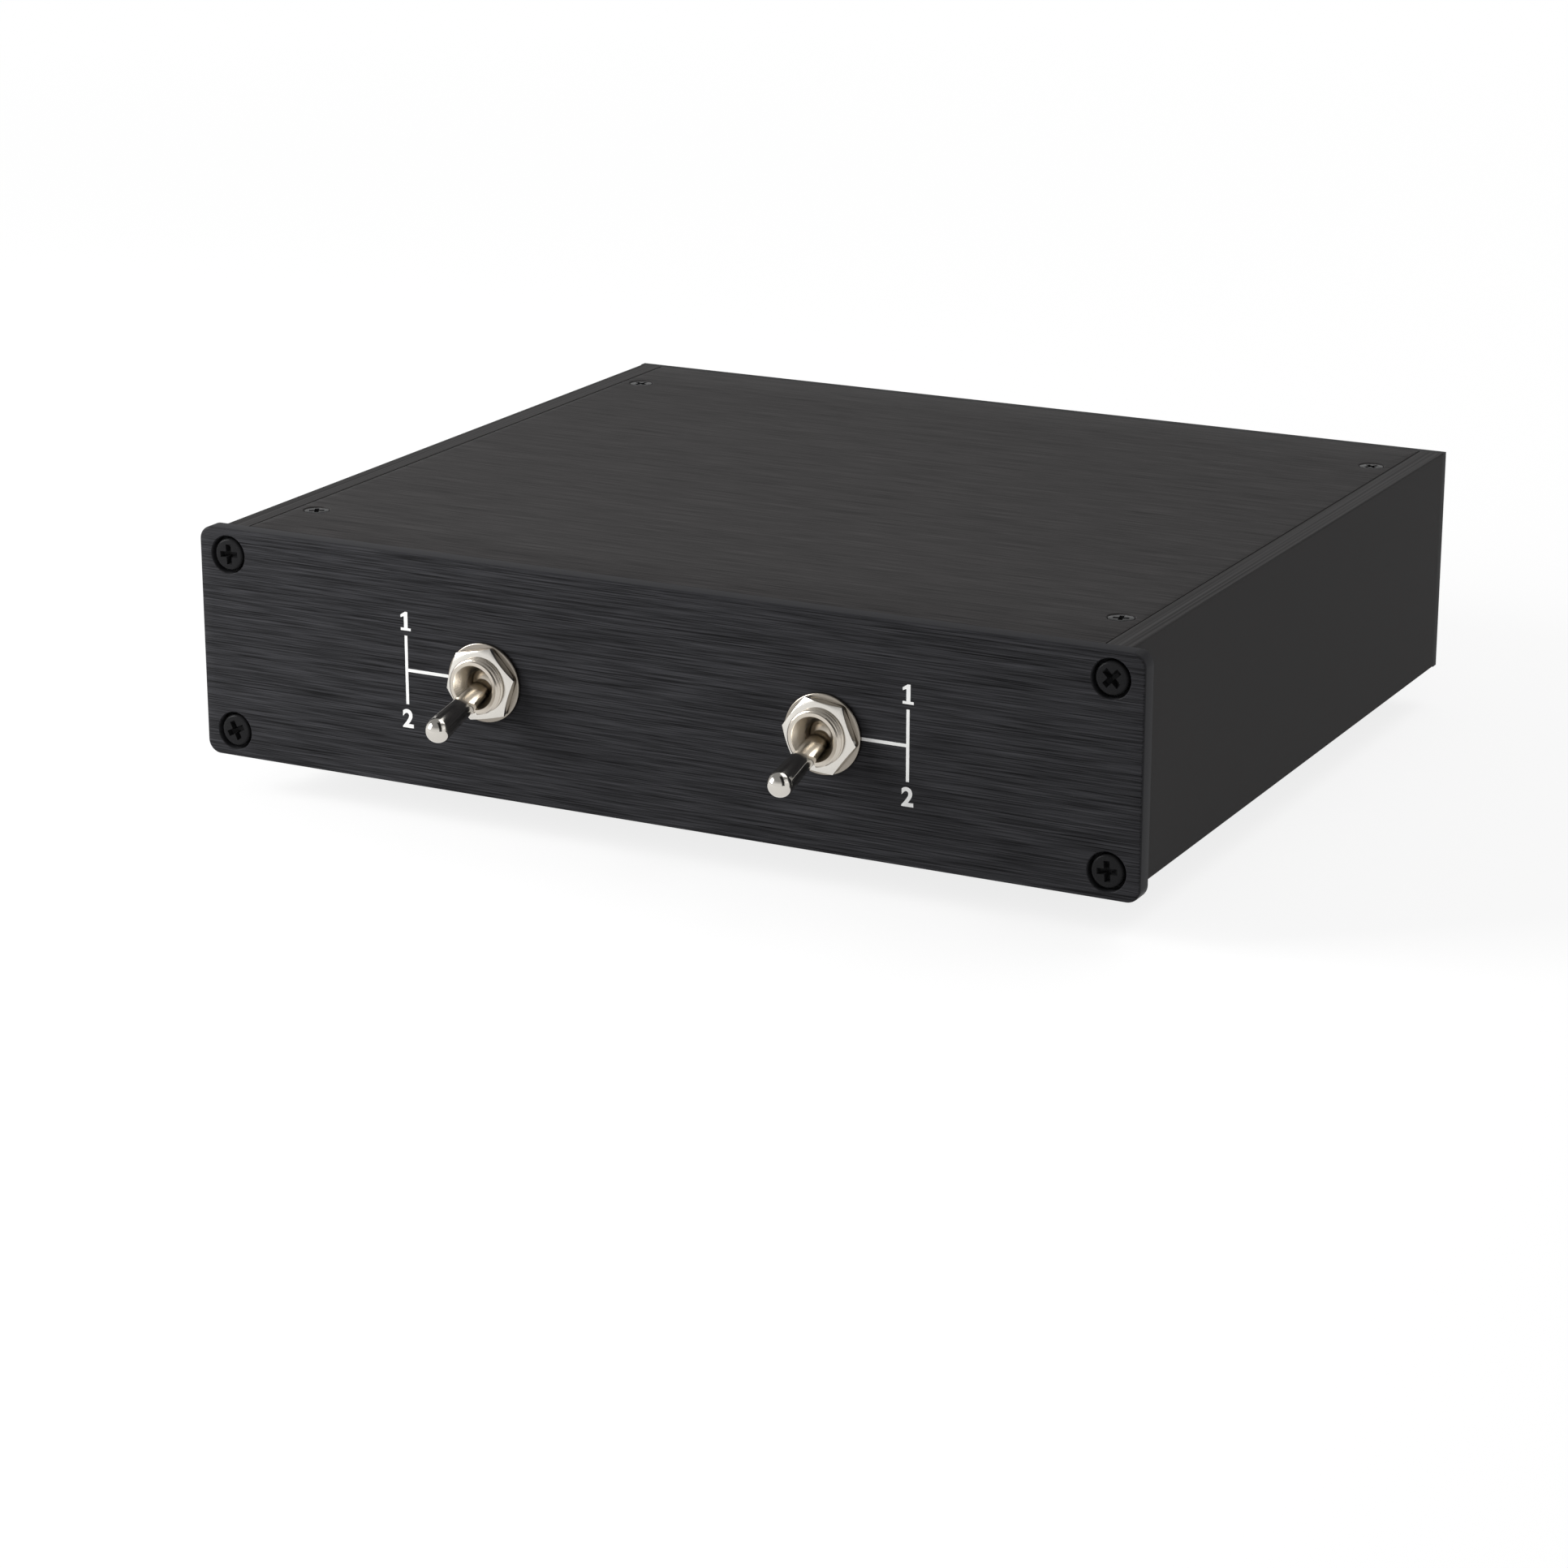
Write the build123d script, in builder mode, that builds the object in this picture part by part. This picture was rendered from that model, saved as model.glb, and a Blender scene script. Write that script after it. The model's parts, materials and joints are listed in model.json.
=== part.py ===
from build123d import *

import os
from math import asin, atan2, cos, radians, sin, sqrt, tan

# Speaker selector switch: a passive box that joins one of two stereo amplifiers to one of two
# pairs of speakers. Millimetres. X runs along the front panel, Y runs back into the case, Z is up.
# The origin is the centre of the whole outline, on the surface that the feet stand on.

# ---------------------------------------------------------------- driving dimensions
# Case
panel_width = 220.0
panel_height = 51.0
panel_thickness = 4.0
panel_corner = 3.0
panel_edge = 0.5
panel_overhang = 4.4
body_length = 182.5
rear_thickness = 2.0
lip_width = 5.6
rail_wall = 2.5
rail_edge = 0.4
boss_height = 11.0
shelf_reach = 10.0
shelf_thickness = 2.5
cover_thickness = 2.0
cover_gap = 0.1

# Screws of the case; threads that repeat many times are eight-sided
thread_sides = 8
port_drop = 5.75
panel_screw_radius = 1.75
panel_screw_length = 12.0
pan_head_radius = 3.5
pan_head_height = 2.5
rear_head_inset = 0.2
rear_head_height = 0.8
counterbore_radius = 4.2
counterbore_depth = 2.8
cover_screw_radius = 1.5
cover_screw_length = 6.0
flat_head_radius = 3.1
cover_screw_side = 5.0
cover_screw_end = 18.9

# Feet
foot_height = 9.0
foot_radius = 10.0
foot_taper = 1.0
foot_side = 20.0
foot_inset = 36.0
foot_floor = 3.5
foot_recess_radius = 4.5
foot_screw_radius = 1.5
foot_screw_reach = 3.0
foot_head_radius = 2.75
foot_head_height = 2.0

# Toggle switches: where they sit, and their mounting hardware
switch_pitch = 79.4
switch_shift = 0.9
thread_radius = 6.0
hole_clearance = 0.1
bushing_proud = 5.1
rim_chamfer = 0.6
washer_radius = 8.6
washer_thickness = 1.0
nut_sides = 6
nut_across_flats = 14.5
nut_thickness = 2.0
nut_turns = {"left": 12.3, "right": -7.8}
keyway_width = 1.2
keyway_depth = 0.9

# Lever, its knuckle and the bore it swings in
lever_tilt = 14.0
lever_length = 22.1
pivot_depth = 2.5
tip_radius = 2.75
neck_radius = 1.95
neck_length = 4.6
knuckle_radius = 3.8
knuckle_half_length = 1.2
knuckle_clearance = 0.1
mouth_radius = 4.25
mouth_depth = 3.0
lip_radius = 3.25
tail_radius = 2.2
tail_length = 11.0
pin_radius = 0.8
pin_clearance = 0.05
pin_length = 11.6

# Plunger and spring inside the lever's tail
plunger_radius = 1.3
plunger_clearance = 0.05
plunger_reach = 14.0
plunger_length = 6.0
spring_length = 2.6
spring_radius = 0.95
spring_wire = 0.5
spring_turns = 3
spring_corners = 8

# Switch housing
frame_thickness = 1.0
leg_thickness = 0.8
leg_height = 16.0
tab_reach = 3.0
spigot_radius = 4.9
base_width = 37.0
base_height = 27.0
base_wall = 1.5
base_floor = 2.0
rib_thickness = 0.8
rib_clearance = 0.3

# Rocking cradle, its contacts and the terminals
cradle_depth = 17.9
cradle_swing = 9.0
cradle_half_thickness = 1.0
cradle_arm = 11.0
cradle_width = 31.0
saddle_floor = 1.06
saddle_angle = 18.0
saddle_arm = 4.4
saddle_width = 6.0
trunnion_radius = 1.0
trunnion_clearance = 0.05
trunnion_end_gap = 0.1
pole_count = 4
pole_pitch = 8.0
blade_width = 3.0
strip_thickness = 0.6
button_height = 0.5
button_length = 2.2
contact_gap = 0.1
throw_offset = 10.0
pad_height = 3.0
lug_thickness = 0.8
lug_length = 8.0

# Binding posts on the rear panel
block_size = 40.0
block_corner = 2.0
block_thickness = 5.0
block_side_gap = 5.0
post_pitch = 20.0
window_margin = 3.0
window_clearance = 0.1
inner_plate_thickness = 1.5
stud_radius = 3.0
stud_flange_radius = 4.6
stud_flange_thickness = 1.5
stud_recess = 1.0
stud_spare = 1.5
socket_radius = 2.0
socket_depth = 12.0
tag_radius = 4.6
tag_thickness = 0.6
tag_width = 3.4
tag_reach = 9.0
post_nut_across_flats = 10.0
post_nut_thickness = 3.0
cap_radius = 6.5
cap_sides = 12
cap_length = 17.6
cap_clearance = 0.05
cap_seat_gap = 0.1
cap_end_wall = 0.8
cap_opening_radius = 2.4
cap_chamfer = 0.8

# Wiring
wire_radius = 1.15
wire_sides = 6
wire_sag = 1.5
wire_edge = 0.4
fan_straight = 34.0
link_start = 34.0
link_step = 6.0
link_level_pitch = 3.6
link_corner = 12.0
link_lead = 0.4
arc_share = 0.45

# ---------------------------------------------------------------- places that follow from them
case_width = panel_width - 2 * panel_overhang
case_depth = panel_thickness + body_length + rear_thickness
lever_reach = lever_length * cos(radians(lever_tilt)) + tip_radius - pivot_depth
post_reach = block_thickness + cap_seat_gap + cap_length
overall_depth = lever_reach + case_depth + post_reach

front_y = lever_reach - overall_depth / 2
body_y = front_y + panel_thickness
body_end_y = body_y + body_length
rear_y = body_end_y + rear_thickness

bottom_z = foot_height
top_z = bottom_z + panel_height
middle_z = bottom_z + panel_height / 2

rail_inner_x = case_width / 2 - lip_width
port_x = case_width / 2 - lip_width / 2
port_z = panel_height / 2 - port_drop
rear_head_radius = lip_width / 2 - rear_head_inset
ports = [(x, z) for x in (-port_x, port_x) for z in (-port_z, port_z)]
cover_width = 2 * (rail_inner_x - cover_gap)
cover_screw_x = rail_inner_x - cover_screw_side
cover_screw_ys = (body_y + cover_screw_end, body_end_y - cover_screw_end)
cover_screw_places = [(x, y) for x in (-cover_screw_x, cover_screw_x) for y in cover_screw_ys]
flat_head_depth = flat_head_radius - cover_screw_radius
foot_x = rail_inner_x - foot_side
foot_places = [(x, y) for x in (-foot_x, foot_x) for y in (front_y + foot_inset, rear_y - foot_inset)]

switch_xs = {"left": switch_shift - switch_pitch / 2, "right": switch_shift + switch_pitch / 2}
pivot_y = front_y + pivot_depth
knuckle_reach = sqrt(knuckle_radius**2 + knuckle_half_length**2)
seat_radius = knuckle_reach + knuckle_clearance
frame_y = body_y + washer_thickness + nut_thickness
base_y = frame_y + frame_thickness
cradle_y = front_y + cradle_depth
swing = radians(cradle_swing)
blade_back = cradle_half_thickness + strip_thickness
button_back = blade_back + button_height
pad_y = cradle_y + button_back * cos(swing) + cradle_arm * sin(swing) + contact_gap
floor_y = pad_y + strip_thickness
base_end_y = floor_y + base_floor
rib_y = cradle_y + cradle_half_thickness * cos(swing) + cradle_arm * sin(swing) + rib_clearance
lug_end_y = base_end_y + lug_length
pole_offsets = [(i - (pole_count - 1) / 2) * pole_pitch for i in range(pole_count)]

block_y = rear_y + block_thickness
cap_y = block_y + cap_seat_gap
cap_end_y = cap_y + cap_length
stud_out_y = cap_end_y - stud_recess
inner_plate_y = body_end_y - inner_plate_thickness
tag_y = inner_plate_y - tag_thickness
post_nut_y = tag_y - post_nut_thickness
stud_in_y = post_nut_y - stud_spare
ear_offset = tag_reach - wire_radius - wire_edge

block_names = ("amp_1", "amp_2", "speaker_1", "speaker_2")
block_pitch = (2 * (rail_inner_x - block_side_gap) - block_size) / (len(block_names) - 1)
block_xs = {
    name: (i - (len(block_names) - 1) / 2) * block_pitch for i, name in enumerate(block_names)
}
# Each post's column and row on its block, in the order of the switch poles that it is wired to.
post_places = {
    "left_plus": (-1, 1),
    "right_plus": (-1, -1),
    "left_minus": (1, 1),
    "right_minus": (1, -1),
}
posts = {
    f"{block}_{post}": (x + column * post_pitch / 2, middle_z + row * post_pitch / 2)
    for block, x in block_xs.items()
    for post, (column, row) in post_places.items()
}


def facing_front(x, y, z):
    """Plane across the case at depth y: its normal faces the user, its axes run along X and Z."""
    return Plane(origin=(x, y, z), x_dir=(1, 0, 0), z_dir=(0, -1, 0))


def along_case(x, y, z, turn=0.0):
    """Plane along the case: its normal is +X, its axes run back and up, turned about X."""
    return Plane(origin=(x, y, z), x_dir=(0, cos(radians(turn)), sin(radians(turn))), z_dir=(1, 0, 0))


def save(piece, label):
    """Labels a finished piece and writes it under that name."""
    piece.label = label
    export_step(piece, f"parts/{label}.step")


os.makedirs("parts", exist_ok=True)

# ---------------------------------------------------------------- case
with BuildPart() as front_panel:
    with BuildSketch(facing_front(0, front_y, middle_z)):
        RectangleRounded(panel_width, panel_height, panel_corner)
    extrude(amount=-panel_thickness)
    fillet(front_panel.faces().sort_by(Axis.Y)[0].outer_wire().edges(), panel_edge)
    with Locations(facing_front(0, front_y, 0)):
        with Locations(*[(x, middle_z) for x in switch_xs.values()]):
            Hole(thread_radius + hole_clearance)
        with Locations(*[(x, middle_z + z) for x, z in ports]):
            CounterBoreHole(panel_screw_radius, counterbore_radius, counterbore_depth)
save(front_panel.part, "front_panel")

window_size = block_size - 2 * window_margin
with BuildPart() as rear_panel:
    with BuildSketch(facing_front(0, body_end_y, middle_z)):
        Rectangle(case_width, panel_height)
        with Locations(*[(x, 0) for x in block_xs.values()]):
            Rectangle(window_size, window_size, mode=Mode.SUBTRACT)
        with Locations(*ports):
            Circle(panel_screw_radius, mode=Mode.SUBTRACT)
    extrude(amount=-rear_thickness)
save(rear_panel.part, "rear_panel")


def side_rail(side):
    """Extruded side rail: outer wall, two bosses with screw ports, and a shelf for each cover."""
    with BuildPart() as rail:
        with BuildSketch(facing_front(0, body_y, middle_z)):
            with Locations((side * (case_width - rail_wall) / 2, 0)):
                Rectangle(rail_wall, panel_height)
            for level in (-1, 1):
                with Locations((side * port_x, level * (panel_height - boss_height) / 2)):
                    Rectangle(lip_width, boss_height)
                shelf_x = rail_inner_x - shelf_reach / 2
                shelf_z = (panel_height - shelf_thickness) / 2 - cover_thickness
                with Locations((side * shelf_x, level * shelf_z)):
                    Rectangle(shelf_reach, shelf_thickness)
                with Locations((side * port_x, level * port_z)):
                    Circle(panel_screw_radius, mode=Mode.SUBTRACT)
        extrude(amount=-body_length)
        fillet(rail.edges().filter_by(Axis.Y).group_by(Axis.X)[-1 if side > 0 else 0], rail_edge)
        with Locations(*[(side * cover_screw_x, y, middle_z) for y in cover_screw_ys]):
            Hole(cover_screw_radius)
    return rail.part


save(side_rail(-1), "left_side_rail")
save(side_rail(1), "right_side_rail")

with BuildPart() as top_cover:
    with BuildSketch(Plane.XY.offset(top_z)):
        with Locations((0, (body_y + body_end_y) / 2)):
            Rectangle(cover_width, body_length)
    extrude(amount=-cover_thickness)
    with Locations(*[(x, y, top_z) for x, y in cover_screw_places]):
        CounterSinkHole(cover_screw_radius, flat_head_radius, counter_sink_angle=90)
save(top_cover.part, "top_cover")

with BuildPart() as bottom_cover:
    with BuildSketch(Plane.XY.offset(bottom_z)):
        with Locations((0, (body_y + body_end_y) / 2)):
            Rectangle(cover_width, body_length)
        with Locations(*foot_places):
            RegularPolygon(foot_screw_radius, thread_sides, mode=Mode.SUBTRACT)
    extrude(amount=cover_thickness)
    with Locations(Plane(origin=(0, 0, bottom_z), x_dir=(1, 0, 0), z_dir=(0, 0, -1))):
        with Locations(*[(x, -y) for x, y in cover_screw_places]):
            CounterSinkHole(cover_screw_radius, flat_head_radius, counter_sink_angle=90)
save(bottom_cover.part, "bottom_cover")

# ---------------------------------------------------------------- fasteners and feet
with BuildPart() as panel_screws:
    # Seat, the way the shank points, and head: pan heads in front, thin ones inside the rear outline.
    for seat_y, inward, head_radius, head_height in (
        (front_y + counterbore_depth, 1, pan_head_radius, pan_head_height),
        (rear_y, -1, rear_head_radius, rear_head_height),
    ):
        for x, z in ports:
            with BuildSketch(facing_front(x, seat_y, middle_z + z)):
                Circle(head_radius)
            extrude(amount=inward * head_height)
            with BuildSketch(facing_front(x, seat_y, middle_z + z)):
                RegularPolygon(panel_screw_radius, thread_sides)
            extrude(amount=-inward * panel_screw_length)
save(panel_screws.part, "panel_screws")

with BuildPart() as cover_screws:
    for outside_z, outward in ((top_z, 1), (bottom_z, -1)):
        for x, y in cover_screw_places:
            with BuildSketch(facing_front(x, y, outside_z)):
                with BuildLine():
                    Polyline(
                        (0, 0),
                        (flat_head_radius, 0),
                        (cover_screw_radius, -outward * flat_head_depth),
                        (0, -outward * flat_head_depth),
                        close=True,
                    )
                make_face()
            revolve(axis=Axis((x, y, 0), (0, 0, 1)))
            with BuildSketch(Plane(origin=(x, y, outside_z - outward * flat_head_depth))):
                RegularPolygon(cover_screw_radius, thread_sides)
            extrude(amount=outward * (flat_head_depth - cover_screw_length))
save(cover_screws.part, "cover_screws")

with BuildPart() as feet:
    for x, y in foot_places:
        with BuildSketch(facing_front(x, y, 0)):
            with BuildLine():
                Polyline(
                    (0, 0),
                    (foot_radius - foot_taper, 0),
                    (foot_radius, foot_height),
                    (0, foot_height),
                    close=True,
                )
            make_face()
        revolve(axis=Axis((x, y, 0), (0, 0, 1)))
        with BuildSketch(Plane(origin=(x, y, 0))):
            RegularPolygon(foot_recess_radius, thread_sides)
        extrude(amount=foot_height - foot_floor, mode=Mode.SUBTRACT)
        with BuildSketch(Plane(origin=(x, y, foot_height))):
            RegularPolygon(foot_screw_radius, thread_sides)
        extrude(amount=-foot_floor, mode=Mode.SUBTRACT)
save(feet.part, "feet")

with BuildPart() as foot_screws:
    for x, y in foot_places:
        with BuildSketch(Plane(origin=(x, y, foot_height - foot_floor))):
            RegularPolygon(foot_head_radius, thread_sides)
        extrude(amount=-foot_head_height)
        with BuildSketch(Plane(origin=(x, y, foot_height - foot_floor))):
            RegularPolygon(foot_screw_radius, thread_sides)
        extrude(amount=foot_floor + foot_screw_reach)
save(foot_screws.part, "foot_screws")

# ---------------------------------------------------------------- mounting hardware of the switches
with BuildPart() as switch_washers:
    for x in switch_xs.values():
        for near_y in (front_y - washer_thickness, body_y):
            with BuildSketch(facing_front(x, near_y, middle_z)):
                Circle(washer_radius)
                Circle(thread_radius, mode=Mode.SUBTRACT)
            extrude(amount=-washer_thickness)
save(switch_washers.part, "switch_washers")

with BuildPart() as switch_nuts:
    for side, x in switch_xs.items():
        for near_y in (front_y - washer_thickness - nut_thickness, body_y + washer_thickness):
            with BuildSketch(facing_front(x, near_y, middle_z)):
                RegularPolygon(nut_across_flats / 2, nut_sides, False, rotation=nut_turns[side])
                Circle(thread_radius, mode=Mode.SUBTRACT)
            extrude(amount=-nut_thickness)
save(switch_nuts.part, "switch_nuts")


# ---------------------------------------------------------------- toggle switches
def switch_bushing(x):
    """Threaded bushing: flared mouth, a lip that keeps the lever's knuckle in, and a rear spigot."""
    seat_front = pivot_depth - sqrt(seat_radius**2 - lip_radius**2)
    shoulder = frame_y - front_y
    back = base_y - front_y
    with BuildPart() as bushing:
        # Local X is the radius and local Y is the depth behind the panel's front face.
        with BuildSketch(Plane(origin=(x, front_y, middle_z))):
            with BuildLine():
                Polyline(
                    (seat_radius, seat_front),
                    (seat_radius, back),
                    (spigot_radius, back),
                    (spigot_radius, shoulder),
                    (thread_radius, shoulder),
                    (thread_radius, rim_chamfer - bushing_proud),
                    (thread_radius - rim_chamfer, -bushing_proud),
                    (mouth_radius, -bushing_proud),
                    (lip_radius, mouth_depth - bushing_proud),
                    (lip_radius, seat_front),
                    close=True,
                )
            make_face()
        revolve(axis=Axis((x, 0, middle_z), (0, 1, 0)))
        with BuildSketch(facing_front(x, frame_y, middle_z - thread_radius)):
            Rectangle(keyway_width, 2 * keyway_depth)
        extrude(amount=bushing_proud + frame_y - front_y, mode=Mode.SUBTRACT)
        with BuildSketch(along_case(x, pivot_y, middle_z)):
            Circle(pin_radius)
        extrude(amount=thread_radius, both=True, mode=Mode.SUBTRACT)
    return bushing.part


def switch_pin(x):
    """Pivot pin, pressed into the bushing's walls and running through the lever's knuckle."""
    with BuildPart() as pin:
        with BuildSketch(along_case(x, pivot_y, middle_z)):
            Circle(pin_radius)
        extrude(amount=pin_length / 2, both=True)
    return pin.part


def lever_plane(x):
    """Plane of a lever's outline at rest: local X is the radius, local Y runs out of the panel."""
    tilt = radians(lever_tilt)
    return Plane(origin=(x, pivot_y, middle_z), x_dir=(1, 0, 0), z_dir=(0, sin(tilt), -cos(tilt)))


def switch_lever(x):
    """Bat-shaped lever in one piece with its knuckle and hollow tail, at rest with the bat down."""
    plane = lever_plane(x)
    shank = lever_length - neck_length
    taper = asin(tip_radius / sqrt(neck_radius**2 + shank**2)) - atan2(neck_radius, shank)
    bore_radius = plunger_radius + plunger_clearance
    bore_end = plunger_reach - plunger_length - spring_length
    with BuildPart() as lever:
        with BuildSketch(plane):
            with BuildLine():
                Polyline(
                    (0, lever_length + tip_radius),
                    (0, -bore_end),
                    (bore_radius, -bore_end),
                    (bore_radius, -tail_length),
                    (tail_radius, -tail_length),
                    (tail_radius, -sqrt(knuckle_reach**2 - tail_radius**2)),
                    (knuckle_radius, -knuckle_half_length),
                    (knuckle_radius, knuckle_half_length),
                    (neck_radius, sqrt(knuckle_reach**2 - neck_radius**2)),
                    (neck_radius, neck_length),
                    (tip_radius * cos(taper), lever_length - tip_radius * sin(taper)),
                )
                RadiusArc(
                    (tip_radius * cos(taper), lever_length - tip_radius * sin(taper)),
                    (0, lever_length + tip_radius),
                    -tip_radius,
                )
            make_face()
        revolve(axis=Axis(plane.origin, plane.y_dir))
        with BuildSketch(along_case(x, pivot_y, middle_z)):
            Circle(pin_radius + pin_clearance)
        extrude(amount=knuckle_radius, both=True, mode=Mode.SUBTRACT)
    return lever.part


def switch_plunger(x):
    """Plunger that the spring pushes out of the lever's tail, with a round nose."""
    plane = lever_plane(x)
    nose = plunger_reach - plunger_radius
    with BuildPart() as plunger:
        with BuildSketch(plane):
            with BuildLine():
                Polyline(
                    (0, -plunger_reach),
                    (0, plunger_length - plunger_reach),
                    (plunger_radius, plunger_length - plunger_reach),
                    (plunger_radius, -nose),
                )
                RadiusArc((plunger_radius, -nose), (0, -plunger_reach), plunger_radius)
            make_face()
        revolve(axis=Axis(plane.origin, plane.y_dir))
    return plunger.part


def switch_spring(x):
    """Short coil spring behind the plunger, wound as straight stretches of square wire."""
    plane = lever_plane(x)
    steps = spring_turns * spring_corners
    rise = (spring_length - spring_wire) / steps
    start = plunger_length - plunger_reach + spring_wire / 2
    coil = [
        plane.from_local_coords(
            Vector(
                spring_radius * cos(radians(360 * i / spring_corners)),
                start + i * rise,
                spring_radius * sin(radians(360 * i / spring_corners)),
            )
        )
        for i in range(steps + 1)
    ]
    with BuildPart() as spring:
        with BuildLine():
            Polyline(*coil)
        with BuildSketch(Plane(origin=coil[0], x_dir=plane.y_dir, z_dir=coil[1] - coil[0])):
            Rectangle(spring_wire, spring_wire)
        sweep(transition=Transition.RIGHT)
    return spring.part


def switch_frame(x):
    """Folded steel frame: front plate around the bushing's spigot, two legs and the tabs behind."""
    outer_width = base_width + 2 * leg_thickness
    depth = base_end_y + leg_thickness - frame_y
    with BuildPart() as frame:
        with BuildSketch(facing_front(x, frame_y, middle_z)):
            Rectangle(outer_width, base_height)
        extrude(amount=-frame_thickness)
        with BuildSketch(Plane(origin=(x, frame_y, middle_z))):
            with Locations((0, depth / 2)):
                Rectangle(outer_width, depth)
            with Locations((0, frame_thickness + (base_end_y - base_y) / 2)):
                Rectangle(base_width, base_end_y - base_y, mode=Mode.SUBTRACT)
            with Locations((0, depth - leg_thickness / 2)):
                Rectangle(base_width - 2 * tab_reach, leg_thickness, mode=Mode.SUBTRACT)
        extrude(amount=leg_height / 2, both=True)
        with Locations(facing_front(x, frame_y, middle_z)):
            Hole(spigot_radius, depth=frame_thickness)
    return frame.part


def switch_base(x):
    """Moulded base: an open box with ribs between the poles, terminal slots and trunnion bores."""
    with BuildPart() as base:
        with BuildSketch(facing_front(x, base_y, middle_z)):
            Rectangle(base_width, base_height)
        extrude(amount=base_y - base_end_y)
        with BuildSketch(facing_front(x, base_y, middle_z)):
            Rectangle(base_width - 2 * base_wall, base_height - 2 * base_wall)
        extrude(amount=base_y - floor_y, mode=Mode.SUBTRACT)
        with BuildSketch(facing_front(x, rib_y, middle_z)):
            for left, right in zip(pole_offsets, pole_offsets[1:]):
                with Locations(((left + right) / 2, 0)):
                    Rectangle(rib_thickness, base_height - 2 * base_wall)
        extrude(amount=rib_y - floor_y)
        with BuildSketch(facing_front(x, base_end_y, middle_z)):
            for level in (-throw_offset, 0, throw_offset):
                with Locations(*[(pole, level) for pole in pole_offsets]):
                    Rectangle(blade_width, lug_thickness)
        extrude(amount=base_floor, mode=Mode.SUBTRACT)
        with BuildSketch(along_case(x, cradle_y, middle_z)):
            Circle(trunnion_radius + trunnion_clearance)
        extrude(amount=base_width / 2, both=True, mode=Mode.SUBTRACT)
    return base.part


def switch_cradle(x):
    """Moulded cradle at rest, rocked back at the top: a plate with a saddle and two trunnions."""
    plane = along_case(x, cradle_y, middle_z, -cradle_swing)
    horn = saddle_floor + saddle_arm * tan(radians(saddle_angle))
    with BuildPart() as cradle:
        with BuildSketch(plane):
            Rectangle(2 * cradle_half_thickness, 2 * cradle_arm)
        extrude(amount=cradle_width / 2, both=True)
        with BuildSketch(plane):
            with BuildLine():
                Polyline(
                    (0, saddle_arm + horn / 2),
                    (-horn, saddle_arm),
                    (-saddle_floor, 0),
                    (-horn, -saddle_arm),
                    (0, -saddle_arm - horn / 2),
                    close=True,
                )
            make_face()
        extrude(amount=saddle_width / 2, both=True)
        with BuildSketch(plane):
            Circle(trunnion_radius)
        extrude(amount=base_width / 2 - trunnion_end_gap, both=True)
    return cradle.part


def switch_blades(x):
    """Moving contacts: one strip to each pole on the cradle's back, with a button at both ends."""
    with BuildPart() as blades:
        for pole in pole_offsets:
            plane = along_case(x + pole, cradle_y, middle_z, -cradle_swing)
            with BuildSketch(plane):
                with BuildLine():
                    Polyline(
                        (cradle_half_thickness, cradle_arm),
                        (button_back, cradle_arm),
                        (button_back, cradle_arm - button_length),
                        (blade_back, cradle_arm - button_length),
                        (blade_back, button_length - cradle_arm),
                        (button_back, button_length - cradle_arm),
                        (button_back, -cradle_arm),
                        (cradle_half_thickness, -cradle_arm),
                        close=True,
                    )
                make_face()
            extrude(amount=blade_width / 2, both=True)
    return blades.part


def switch_terminals(x):
    """Fixed contacts: to each pole a rounded fulcrum in the middle and a flat pad at either throw."""
    tip_y = cradle_y + blade_back + contact_gap
    round_y = tip_y + lug_thickness / 2
    with BuildPart() as terminals:
        for pole in pole_offsets:
            with BuildSketch(along_case(x + pole, round_y, middle_z)):
                Circle(lug_thickness / 2)
                with Locations(((lug_end_y - round_y) / 2, 0)):
                    Rectangle(lug_end_y - round_y, lug_thickness)
            extrude(amount=blade_width / 2, both=True)
            for level in (-throw_offset, throw_offset):
                with BuildSketch(along_case(x + pole, pad_y, middle_z + level)):
                    with Locations((strip_thickness / 2, 0)):
                        Rectangle(strip_thickness, pad_height)
                    with Locations(((lug_end_y - pad_y) / 2, 0)):
                        Rectangle(lug_end_y - pad_y, lug_thickness)
                extrude(amount=blade_width / 2, both=True)
    return terminals.part


for side, x in switch_xs.items():
    save(switch_bushing(x), f"{side}_switch_bushing")
    save(switch_pin(x), f"{side}_switch_pivot_pin")
    save(switch_lever(x), f"{side}_switch_lever")
    save(switch_plunger(x), f"{side}_switch_plunger")
    save(switch_spring(x), f"{side}_switch_spring")
    save(switch_frame(x), f"{side}_switch_frame")
    save(switch_base(x), f"{side}_switch_base")
    save(switch_cradle(x), f"{side}_switch_cradle")
    save(switch_blades(x), f"{side}_switch_blades")
    save(switch_terminals(x), f"{side}_switch_terminals")

# ---------------------------------------------------------------- binding posts
block_posts = [(column * post_pitch / 2, row * post_pitch / 2) for column, row in post_places.values()]

with BuildPart() as post_blocks:
    for x in block_xs.values():
        with BuildSketch(facing_front(x, rear_y, middle_z)):
            RectangleRounded(block_size, block_size, block_corner)
        extrude(amount=-block_thickness)
        with BuildSketch(facing_front(x, body_end_y, middle_z)):
            Rectangle(window_size - 2 * window_clearance, window_size - 2 * window_clearance)
        extrude(amount=-rear_thickness)
        with BuildSketch(facing_front(x, body_end_y, middle_z)):
            with Locations(*block_posts):
                RegularPolygon(stud_radius, thread_sides)
        extrude(amount=-rear_thickness - block_thickness, mode=Mode.SUBTRACT)
        with BuildSketch(facing_front(x, block_y, middle_z)):
            with Locations(*block_posts):
                RegularPolygon(stud_flange_radius, thread_sides)
        extrude(amount=stud_flange_thickness, mode=Mode.SUBTRACT)
save(post_blocks.part, "post_blocks")

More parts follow.
